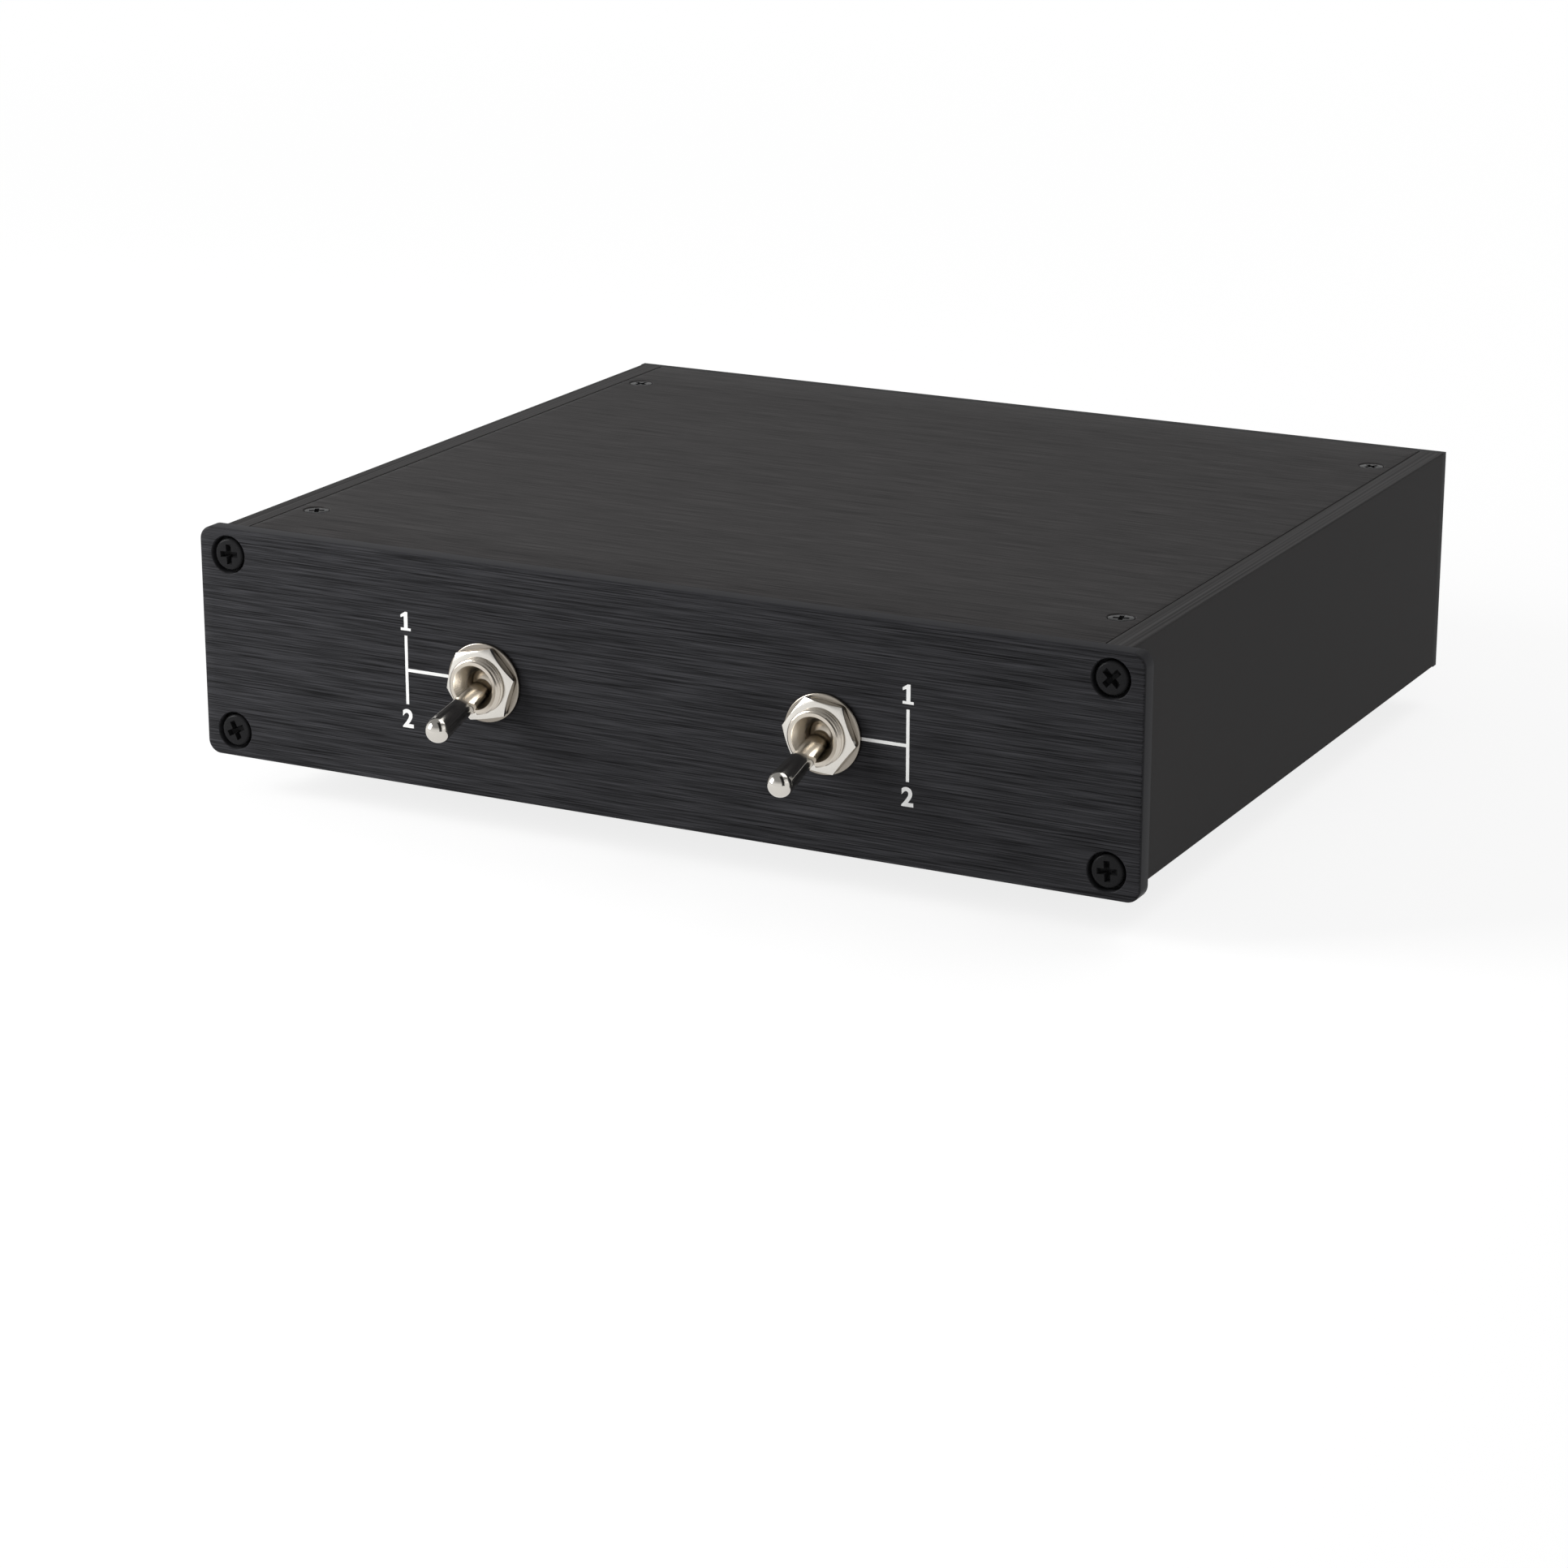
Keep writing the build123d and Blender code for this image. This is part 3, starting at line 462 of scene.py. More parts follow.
def brushed_anodised_aluminium(name, face, dark, light, length_mm, width_mm, roughness, shine):
    """Black dyed oxide over metal brushed along X: fine straight lines on the face, an even cut edge."""
    made, tree, shader = new_finish(name, roughness, Specular_IOR_Level=shine, Anisotropic=0.75)
    fine = noise(tree, (length_mm, width_mm, width_mm), 2.0)
    long = noise(tree, (length_mm * 3, width_mm * 1.8, width_mm * 1.8), 1.0)
    lines = add(tree, "ShaderNodeMapRange", fine, 0.35, 0.68, 0.0, 0.7)
    bands = add(tree, "ShaderNodeMapRange", long, 0.35, 0.68, 0.0, 0.3)
    both = only_facing(tree, face, add(tree, "ShaderNodeMath", lines, bands, operation="ADD"))
    colour = add(tree, "ShaderNodeMix", both, data_type="RGBA", inputs={6: dark, 7: light})
    tree.links.new(colour.outputs[2], shader.inputs["Base Color"])
    across = add(tree, "ShaderNodeCombineXYZ", 0.0, 1.0, 1.0)
    tree.links.new(across.outputs[0], shader.inputs["Tangent"])
    bump(tree, shader, both, 0.008)
    return made


def extruded_anodised_aluminium(name, dark, light, roughness):
    """Dyed oxide over an extrusion: lines from the die run along Y on its lips, and its sides are even."""
    made, tree, shader = new_finish(name, roughness, Specular_IOR_Level=0.01)
    die = noise(tree, (0.5, 160.0, 0.5), 3.0)
    lines = only_facing(tree, "Z", add(tree, "ShaderNodeMapRange", die, 0.3, 0.7, 0.0, 1.0))
    colour = add(tree, "ShaderNodeMix", lines, data_type="RGBA", inputs={6: dark, 7: light})
    tree.links.new(colour.outputs[2], shader.inputs["Base Color"])
    bump(tree, shader, lines, 0.003)
    return made


def speckled(name, dark, light, roughness, grain_mm, relief_mm, metallic=0.0, **constants):
    """Even surface with a fine grain in tone and relief, as moulding, coating or plating leaves it."""
    made, tree, shader = new_finish(name, roughness, metallic, **constants)
    grain = noise(tree, (grain_mm, grain_mm, grain_mm), 3.0)
    colour = add(tree, "ShaderNodeMix", grain, data_type="RGBA", inputs={6: dark, 7: light})
    tree.links.new(colour.outputs[2], shader.inputs["Base Color"])
    bump(tree, shader, grain, relief_mm)
    return made


# ---------------------------------------------------------------- settings
def length(name, description, value_mm):
    """Property that holds a length."""
    return bpy.props.FloatProperty(
        name=name, description=description, default=value_mm * MM, unit="LENGTH", precision=5
    )


def colour(name, description, code):
    """Property that holds a colour."""
    return bpy.props.FloatVectorProperty(
        name=name, description=description, default=linear(code), size=4, subtype="COLOR", min=0, max=1
    )


def angle(name, description, degrees):
    """Property that holds an angle."""
    return bpy.props.FloatProperty(
        name=name, description=description, default=radians(degrees), subtype="ANGLE"
    )


def amount(name, description, value, **kind):
    """Property that holds another number, such as a lamp's power."""
    return bpy.props.FloatProperty(name=name, description=description, default=value, **kind)


class SelectorCase(bpy.types.PropertyGroup):
    """Sizes and colours of the case."""

    panel_corner: length("Panel corner", "Radius of the front panel's corners", 3.0)
    panel_edge: length("Panel edge", "Rounding round the front panel's face", 0.5)
    cover_gap: length("Cover gap", "Gap that the covers leave between the rails, beyond their fit", 0.4)
    sheet_edge: length("Sheet edge", "Rounding of the covers' edges", 0.08)
    switch_hole: length("Switch hole", "Radius of the holes for the switches", 6.1)
    screw_hole: length("Screw hole", "Radius of the holes for the panel screws", 1.75)
    counterbore: length("Counterbore", "Radius of the seats of the panel screws", 4.2)
    counterbore_depth: length("Counterbore depth", "Depth of those seats", 2.8)
    countersink: length("Countersink", "Radius of the cover screws' seats at the surface", 3.1)
    cover_hole: length("Cover hole", "Radius of the cover screws' holes", 1.5)
    line_length: length("Brushed line length", "Length of one brushed line", 15.0)
    line_width: length("Brushed line width", "Width of one brushed line", 0.2)
    panel_dark: colour("Panel, dark", "Panel between the brushed lines", "#111112")
    panel_light: colour("Panel, light", "Brushed lines of the panel", "#434346")
    cover_dark: colour("Cover, dark", "Cover between the brushed lines", "#191818")
    cover_light: colour("Cover, light", "Brushed lines of the cover", "#4a4848")
    rail_dark: colour("Rail, dark", "Rails between the die lines", "#2d2c2c")
    rail_light: colour("Rail, light", "Die lines of the rails", "#4c4b4b")
    coat: colour("Coat", "Powder coat of the rear panel", "#19191a")


class SelectorFasteners(bpy.types.PropertyGroup):
    """Sizes and colours of the screws and feet."""

    pan_radius: length("Pan head", "Radius of the panel screws' heads", 3.5)
    pan_height: length("Pan head height", "Height of the panel screws' heads", 2.5)
    thin_radius: length("Thin head", "Radius of the rear panel screws' heads", 2.6)
    thin_height: length("Thin head height", "Height of the rear panel screws' heads", 0.8)
    flat_radius: length("Flat head", "Radius of the cover screws' seats at the surface", 3.1)
    flat_sunk: length("Flat head depth", "Depth of the cover screws' heads below the surface", 0.12)
    flat_gap: length("Flat head gap", "Gap between those heads and their seats", 0.15)
    panel_thread: length("Panel thread", "Radius of the panel screws' threads", 1.75)
    panel_length: length("Panel screw length", "Length of the panel screws' shanks", 12.0)
    cover_thread: length("Cover thread", "Radius of the cover screws' threads", 1.5)
    cover_length: length("Cover screw length", "Whole length of the cover screws", 6.0)
    foot_head: length("Foot screw head", "Radius of the foot screws' heads", 2.75)
    pitch: length("Pitch", "Pitch of the screws' threads", 0.7)
    recess_span: length("Recess span", "Width of the cross recess over its arms", 4.5)
    recess_arm: length("Recess arm", "Width of one arm of the cross recess", 1.3)
    recess_depth: length("Recess depth", "Depth of the cross recess", 1.7)
    foot_radius: length("Foot radius", "Radius of the feet at the case", 10.0)
    steel: colour("Black steel", "Black oxide of the screws", "#1b1b1c")
    zinc: colour("Zinc", "Bright zinc of the foot screws", "#b9bab8")
    rubber: colour("Rubber", "Moulded rubber of the feet", "#1d1c1c")


class SelectorSwitches(bpy.types.PropertyGroup):
    """Sizes and colours of the toggle switches."""

    thread: length("Thread", "Radius of the bushings' threads", 6.0)
    pitch: length("Pitch", "Pitch of the bushings' threads", 1.0)
    thread_depth: length("Thread depth", "Depth of the bushings' threads", 0.5)
    mouth: length("Mouth", "Radius of the bushing's mouth", 4.6)
    mouth_depth: length("Mouth depth", "Depth of the coned mouth", 2.6)
    lip: length("Lip", "Radius of the lip behind the mouth", 3.0)
    keyway_width: length("Keyway width", "Width of the slot along the thread", 1.2)
    keyway_depth: length("Keyway depth", "Depth of the slot along the thread", 0.9)
    washer: length("Washer", "Radius of the washers", 8.6)
    nut: length("Nut", "Width of the nuts across their flats", 14.5)
    lever_length: length("Lever", "Length of a lever from its pivot to the centre of its tip", 22.1)
    tip: length("Tip", "Radius of the lever's tip", 2.75)
    neck: length("Neck", "Radius of the lever's neck", 1.95)
    neck_length: length("Neck length", "Distance from the pivot to the end of the neck", 4.6)
    knuckle: length("Knuckle", "Radius of the knuckle", 3.8)
    knuckle_half: length("Knuckle half", "Half the length of the knuckle's round band", 1.2)
    tail: length("Tail", "Radius of the lever's hollow tail", 2.2)
    tail_length: length("Tail length", "Distance from the pivot to the tail's end", 11.0)
    tail_bore: length("Tail bore", "Radius of the bore in the tail", 1.35)
    tail_bore_end: length("Tail bore end", "Distance from the pivot to the end of the bore", 5.4)
    pin: length("Pin", "Radius of the pivot pin", 0.8)
    pin_clearance: length("Pin clearance", "Gap round the pivot pin", 0.05)
    tilt: angle("Tilt", "Angle of the levers below the level", 14)
    left_turn: angle("Left nut", "Turn of the left nut", 12.3)
    right_turn: angle("Right nut", "Turn of the right nut", -7.8)
    nickel: colour("Nickel", "Bright nickel plating of levers and nuts", "#ccc8c1")
    satin: colour("Satin nickel", "Satin nickel plating of the bushings", "#c0b8ac")
    dull: colour("Dull nickel", "Dull nickel plating of the washers", "#8b857c")
    steel: colour("Steel", "Bare steel of pins and springs", "#a9a9a8")
    phenolic: colour("Phenolic", "Moulded base", "#5a2f1c")
    acetal: colour("Acetal", "Moulded cradle and plunger", "#dedacc")
    silver: colour("Silver", "Silver plating of contacts", "#cfccc4")


class SelectorPosts(bpy.types.PropertyGroup):
    """Sizes and colours of the binding posts."""

    block_corner: length("Block corner", "Radius of the blocks' corners", 2.0)
    block_edge: length("Block edge", "Rounding of the blocks' edges", 0.8)
    stud: length("Stud", "Radius of the studs", 3.0)
    stud_pitch: length("Stud pitch", "Pitch of the studs' threads", 1.0)
    stud_flange: length("Flange", "Radius of the studs' flanges", 4.6)
    stud_flange_thickness: length("Flange thickness", "Thickness of the studs' flanges", 1.5)
    socket: length("Socket", "Radius of the plug sockets", 2.0)
    cap: length("Cap", "Radius of the caps", 6.5)
    cap_bore: length("Cap bore", "Radius of the caps' bores", 3.05)
    cap_opening: length("Cap opening", "Radius of the opening in a cap's end", 2.4)
    cap_wall: length("Cap end wall", "Thickness of a cap's end wall", 0.8)
    flute_depth: length("Flute depth", "Depth of the grip flutes", 0.35)
    flutes: bpy.props.IntProperty(
        name="Flutes", description="Number of grip flutes on a cap", default=24, min=3
    )
    red: colour("Red", "Plus caps", "#a3140f")
    black: colour("Black", "Minus caps", "#1a1a1b")
    block: colour("Block", "Moulded blocks", "#1b1b1c")
    gold: colour("Gold", "Gold plating of the studs", "#d9b464")
    brass: colour("Brass", "Bright brass of the nuts", "#c8a558")
    tin: colour("Tin", "Tinned solder tags", "#b7b7b3")
    fibre: colour("Fibre", "Pressed fibre plates", "#6b4b2c")


class SelectorPrint(bpy.types.PropertyGroup):
    """Sizes and colour of the print on the front panel."""

    line: length("Line", "Width of the lines", 0.7)
    digit: length("Digit", "Height of the digits", 4.1)
    ink_thickness: length("Ink", "Thickness of the ink", 0.02)
    column: length("Column", "Mean distance from a switch's centre to its upright line", 19.08)
    shift: length("Shift", "Shift of the print to the right", -0.32)
    reach: length("Reach", "Length of the line that points at the switch", 10.0)
    upright: length("Upright", "Length of the upright line", 15.1)
    digit_rise: length("Digit rise", "Distance from the line's middle to a digit's centre", 10.7)
    ink: colour("Ink", "Printed lines and digits", "#f4f4f2")


class SelectorStage(bpy.types.PropertyGroup):
    """Light, floor and camera."""

    floor: colour("Floor", "Pale floor", "#ececec")
    glow: amount("Glow", "Brightness that makes the near floor white", 1.17)
    key: amount("Key", "Power of the front lamp", 6.5, unit="POWER")
    fill: amount("Fill", "Power of the side lamp", 1.5, unit="POWER")
    top: amount("Top", "Power of the lamp overhead", 6.3, unit="POWER")
    ambient: amount("Ambient", "Strength of the even light", 0.25)
    ceiling: amount("Ceiling", "Reflected brightness overhead", 0.35)
    gap: angle("Gap", "Turn of the dark gap between the screens", 52)
    lens: amount("Lens", "Focal length", 97.24, subtype="DISTANCE_CAMERA", unit="CAMERA")
    azimuth: angle("Azimuth", "Camera's turn round the object", 27.396)
    elevation: angle("Elevation", "Camera's height angle", 17.771)
    camera: bpy.props.FloatVectorProperty(
        name="Camera", description="Place of the camera", default=(0.40827, -0.82158, 0.28481),
        subtype="TRANSLATION",
    )


SETTINGS = {
    "selector_case": SelectorCase,
    "selector_fasteners": SelectorFasteners,
    "selector_switches": SelectorSwitches,
    "selector_posts": SelectorPosts,
    "selector_print": SelectorPrint,
    "selector_stage": SelectorStage,
}


def in_mm(settings, *names):
    """Values of some lengths, in millimetres."""
    return [getattr(settings, name) / MM for name in names]


# ---------------------------------------------------------------- places that repeat
def panel_screw_places(settings):
    """X and Z of the panel screws, from the node's box and the radius of their heads."""
    low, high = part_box("panel_screws")
    reach_x, reach_z = high.x - settings.pan_radius, (high.z - low.z) / 2 - settings.pan_radius
    return [(x * reach_x, MIDDLE_Z + z * reach_z) for x in (-1, 1) for z in (-1, 1)]


def corner_places(node, radius):
    """X and Y of a node's four round pieces, from its box and their radius."""
    low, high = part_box(node)
    return [(x, y) for x in (low.x + radius, high.x - radius) for y in (low.y + radius, high.y - radius)]


# ---------------------------------------------------------------- operators
class SELECTOR_OT_front_panel(bpy.types.Operator):
    """Brushed front panel with its holes and counterbores"""

    bl_idname = "selector.front_panel"
    bl_label = "Front Panel"

    def execute(self, context):
        case = context.scene.selector_case
        width, thickness, height = (PANEL_HIGH - PANEL_LOW) / MM
        corner, edge, hole = in_mm(case, "panel_corner", "panel_edge", "switch_hole")
        screw, bore, depth = in_mm(case, "screw_hole", "counterbore", "counterbore_depth")
        chamfer = 0.15
        seat, rim, above = thickness - depth, thickness - chamfer, thickness + PAST
        flare = chamfer + PAST
        drill = lathe((hole, -PAST), (hole, rim), (hole + flare, above))
        counter = lathe((screw, -PAST), (screw, seat), (bore, seat), (bore, rim), (bore + flare, above))
        cuts = [(drill, Matrix.Translation((pivot.x / MM, 0, 0))) for pivot in PIVOTS.values()]
        for x, z in panel_screw_places(context.scene.selector_fasteners):
            cuts.append((counter, Matrix.Translation((x / MM, (z - MIDDLE_Z) / MM, 0))))
        mesh = carve(plate(width, height, thickness, corner, edge, steps=10), joined(cuts))
        finish = brushed_anodised_aluminium(
            "black anodised aluminium, brushed", "Y", case.panel_dark, case.panel_light,
            case.line_length / MM, case.line_width / MM, 0.4, 0.04,
        )
        place = stand(0, BODY_Y, MIDDLE_Z, "front")
        piece("brushed_front_panel", mesh, "case", finish, "panel_anodised", "front_panel", place=place)
        return {"FINISHED"}


class SELECTOR_OT_covers(bpy.types.Operator):
    """Top and bottom covers with their countersinks"""

    bl_idname = "selector.covers"
    bl_label = "Covers"

    def execute(self, context):
        case = context.scene.selector_case
        edge, head, hole = in_mm(case, "sheet_edge", "countersink", "cover_hole")
        head_radius = context.scene.selector_fasteners.flat_radius
        finish = brushed_anodised_aluminium(
            "dark anodised aluminium, brushed", "Z", case.cover_dark, case.cover_light,
            case.line_length / MM, case.line_width / MM, 0.45, 0.04,
        )
        for node, facing in (("top_cover", "up"), ("bottom_cover", "down")):
            low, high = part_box(node)
            width, depth, thickness = (high - low) / MM
            middle_y = (low.y + high.y) / 2
            cone, above = thickness - (head - hole), thickness + PAST
            sink = lathe((hole, -PAST), (hole, cone), (head + PAST, above), steps=40)
            up = 1 if facing == "up" else -1
            cuts = []
            for x, y in corner_places("cover_screws", head_radius):
                cuts.append((sink, Matrix.Translation((x / MM, up * (y - middle_y) / MM, 0))))
            mesh = carve(plate(width - case.cover_gap / MM, depth, thickness, edge, edge), joined(cuts))
            place = stand(0, middle_y, low.z if up > 0 else high.z, facing)
            piece(f"brushed_{node}", mesh, "case", finish, "cover_anodised", node, place=place)
        return {"FINISHED"}


class SELECTOR_OT_rails(bpy.types.Operator):
    """Finish of the side rails and the rear panel"""

    bl_idname = "selector.rails"
    bl_label = "Rails and Rear Panel"

    def execute(self, context):
        case = context.scene.selector_case
        finish = extruded_anodised_aluminium(
            "dark anodised aluminium, extruded", case.rail_dark, case.rail_light, 0.48
        )
        for side in SIDES:
            dress(f"{side}_side_rail", finish)
        # Powder coat: a matt skin with a fine orange peel of about half a millimetre.
        coat = speckled(
            "black powder coat", case.coat, linear("#202021"), 0.55, 0.5, 0.02, Specular_IOR_Level=0.1
        )
        dress("rear_panel", coat)
        return {"FINISHED"}


def cross_recess(settings, radius, height):
    """Cutter for a cross recess in a head of a radius whose top is at a height, tapering inwards."""
    share = radius / settings.pan_radius * MM
    sizes = in_mm(settings, "recess_span", "recess_arm", "recess_depth")
    span, arm, depth = [size * share for size in sizes]

    def cross(reach, half, level):
        quarter = [(reach, -half), (reach, half), (half, half)]
        points = []
        for i in range(4):
            turn = Matrix.Rotation(pi / 2 * i, 2)
            points += [(*(turn @ Vector(point)), level) for point in quarter]
        return points

    # Share of the span, share of the arm's width and level of each section, from above the head down.
    sections = ((1.04, 1.04, 0.4), (0.8, 0.85, -depth * 0.6), (0.35, 0.5, -depth))
    return skin([cross(span / 2 * reach, arm / 2 * half, height + level) for reach, half, level in sections])


def screw(settings, profile, thread, end, rod):
    """Screw from its head's profile, which starts at the seat, to the end of its thread below."""
    radius, height = max(point[0] for point in profile), profile[-1][1]
    top = (profile[0][1] + height) / 2
    shank = grow(
        rod, Radius=thread, Length=top - end, Pitch=settings.pitch / MM, Depth=0.3, Steps=16, Rows_per_turn=4
    )
    shank.transform(Matrix.Translation((0, 0, end)))
    whole = carve(turned(profile, 40), shank, "UNION")
    return carve(whole, cross_recess(settings, radius, height))


class SELECTOR_OT_screws(bpy.types.Operator):
    """Panel, cover and foot screws with cross recesses"""

    bl_idname = "selector.screws"
    bl_label = "Screws"

    def execute(self, context):
        settings = context.scene.selector_fasteners
        case = context.scene.selector_case
        rod = thread_tree()
        # Black oxide on steel: a thin dark skin that keeps the metal's shine in the recess.
        black = speckled(
            "black oxide steel", settings.steel, linear("#29292a"), 0.22, 0.3, 0.004, Specular_IOR_Level=0.04
        )
        # Zinc plate, passivated clear: bluish white and bright.
        zinc = speckled("bright zinc steel", settings.zinc, linear("#a7a8a6"), 0.3, 0.4, 0.004, 1.0)

        thread, reach = in_mm(settings, "panel_thread", "panel_length")
        # Degrees that each front screw's cross stands at, by its side: right or not, upper or not.
        turns = {(False, True): 3, (False, False): 25, (True, True): 45, (True, False): 4}
        # Radius, height and edge of the heads, their seat and side, and how much further they are turned.
        kinds = (
            ("pan_radius", "pan_height", 0.55, FRONT_Y + case.counterbore_depth, "front", 1),
            ("thin_radius", "thin_height", 0.2, REAR_Y, "back", 3),
        )
        meshes = []
        for radius_name, height_name, edge, seat, facing, further in kinds:
            radius, height = in_mm(settings, radius_name, height_name)
            head = eased([(0, 0, 0), (radius, 0, 0), (radius, height, edge), (0, height, 0)])
            places = []
            for x, z in panel_screw_places(settings):
                turn = radians(further * turns[x > 0, z > MIDDLE_Z])
                places.append(stand(x, seat, z, facing, turn))
            panel_screw = screw(settings, head, thread, -reach, rod)
            meshes.append((repeated(panel_screw, places, black), Matrix.Identity(4)))
        piece("cross_panel_screws", joined(meshes), "case", black, "screw_black_oxide", "panel_screws")

        radius, thread, reach = in_mm(settings, "flat_radius", "cover_thread", "cover_length")
        sunk, gap = in_mm(settings, "flat_sunk", "flat_gap")
        rim = radius - sunk - gap
        point = thread - radius
        flat = eased([(0, point, 0), (thread - gap, point, 0), (rim, -sunk, 0.1), (0, -sunk, 0)])
        cover_screw = screw(settings, flat, thread, -reach, rod)
        # Each cross stands at a turn of its own, as screws driven by hand do.
        places = []
        for i, (x, y) in enumerate(corner_places("cover_screws", settings.flat_radius)):
            places.append(stand(x, y, TOP_Z, "up", radians(30 + 37 * i)))
            places.append(stand(x, y, BOTTOM_Z, "down", radians(12 + 53 * i)))
        mesh = repeated(cover_screw, places, black)
        piece("cross_cover_screws", mesh, "case", black, "screw_black_oxide", "cover_screws")

        low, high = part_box("foot_screws")
        radius, thread = in_mm(settings, "foot_head", "cover_thread")
        height = 2.0
        seat = low.z + height * MM
        pan = eased([(0, 0, 0), (radius, 0, 0), (radius, height, 0.6), (0, height, 0)])
        foot_screw = screw(settings, pan, thread, -(high.z - seat) / MM, rod)
        places = []
        for i, (x, y) in enumerate(corner_places("feet", settings.foot_radius)):
            places.append(stand(x, y, seat, "down", radians(20 + 31 * i)))
        mesh = repeated(foot_screw, places, zinc)
        piece("cross_foot_screws", mesh, "case", zinc, "screw_zinc", "foot_screws")
        return {"FINISHED"}


class SELECTOR_OT_feet(bpy.types.Operator):
    """Moulded rubber feet"""

    bl_idname = "selector.feet"
    bl_label = "Feet"

    def execute(self, context):
        settings = context.scene.selector_fasteners
        low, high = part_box("feet")
        height = (high.z - low.z) / MM
        hole, radius = in_mm(settings, "cover_thread", "foot_radius")
        # The foot narrows downwards, and its screw's head lies in a recess.
        taper, web, recess = 1, 3.5, 4.5
        profile = eased([
            (hole, 0, 0), (radius, 0, 0.3), (radius - taper, height, 1.0),
            (recess, height, 0.4), (recess, web, 0.3), (hole, web, 0),
        ])
        # Moulded rubber: matt, with a faint bloom.
        rubber = speckled("moulded rubber", settings.rubber, linear("#2a2929"), 0.75, 0.6, 0.02)
        corners = corner_places("feet", settings.foot_radius)
        places = [stand(x, y, high.z, "down") for x, y in corners]
        mesh = repeated(turned(profile, 64), places, rubber)
        piece("rubber_feet", mesh, "case", rubber, "foot_rubber", "feet")
        return {"FINISHED"}


class SELECTOR_OT_print(bpy.types.Operator):
    """Printed lines and digits beside the switches"""

    bl_idname = "selector.print"
    bl_label = "Print"

    def execute(self, context):
        settings = context.scene.selector_print
        line, ink, column, shift, reach, upright, rise = in_mm(
            settings, "line", "ink_thickness", "column", "shift", "reach", "upright", "digit_rise"
        )
        # Screen ink: a thin, nearly flat white film.
        film = speckled("white screen ink", settings.ink, linear("#fbfbfa"), 0.5, 0.15, 0.002)
        parts = []
        for side, outward in (("left", -1), ("right", 1)):
            centre_x = PIVOTS[side].x / MM
            line_x = centre_x + outward * column + shift
            bar_x = line_x - outward * (line + reach) / 2
            corner, edge = 0.05, 0.005
            parts.append((plate(line, upright, ink, corner, edge), Matrix.Translation((line_x, 0, 0))))
            parts.append((plate(reach, line, ink, corner, edge), Matrix.Translation((bar_x, 0, 0))))
            parts.append((self.one(settings), Matrix.Translation((line_x, rise, 0))))
            parts.append((self.two(settings), Matrix.Translation((line_x, -rise, 0))))
        place = stand(0, FRONT_Y, MIDDLE_Z, "front")
        piece("panel_print", joined(parts), "case", film, "panel_anodised", place=place)
        return {"FINISHED"}

    def one(self, settings):
        """Digit one with a flag and a foot, centred on its origin."""
        # In shares of its height: the foot, then the stem and its flag.
        foot = [(-0.3, -0.36), (-0.3, -0.5), (0.3, -0.5), (0.3, -0.36)]
        stem = [(0.12, -0.36), (0.12, 0.5), (-0.03, 0.5)]
        flag = [(-0.3, 0.32), (-0.3, 0.18), (-0.1, 0.26), (-0.1, -0.36)]
        outline = foot + stem + flag
        height = settings.digit / MM
        levels = (0, settings.ink_thickness / MM)
        return skin([[(x * height, y * height, level) for x, y in outline] for level in levels])

    def two(self, settings):
        """Digit two as a thin mesh, centred on its origin."""
        letter = bpy.data.curves.new("two", "FONT")
        letter.body = "2"
        letter.offset = 0.03
        letter.extrude = 0.01
        mesh = evaluated(linked(letter))
        low = Vector(map(min, *[v.co for v in mesh.vertices]))
        high = Vector(map(max, *[v.co for v in mesh.vertices]))
        mesh.transform(Matrix.Translation(-Vector(((low.x + high.x) / 2, (low.y + high.y) / 2, low.z))))
        size = settings.digit / MM / (high.y - low.y)
        depth = settings.ink_thickness / MM / (high.z - low.z)
        mesh.transform(Matrix.Diagonal((size, size, depth, 1)))
        return mesh


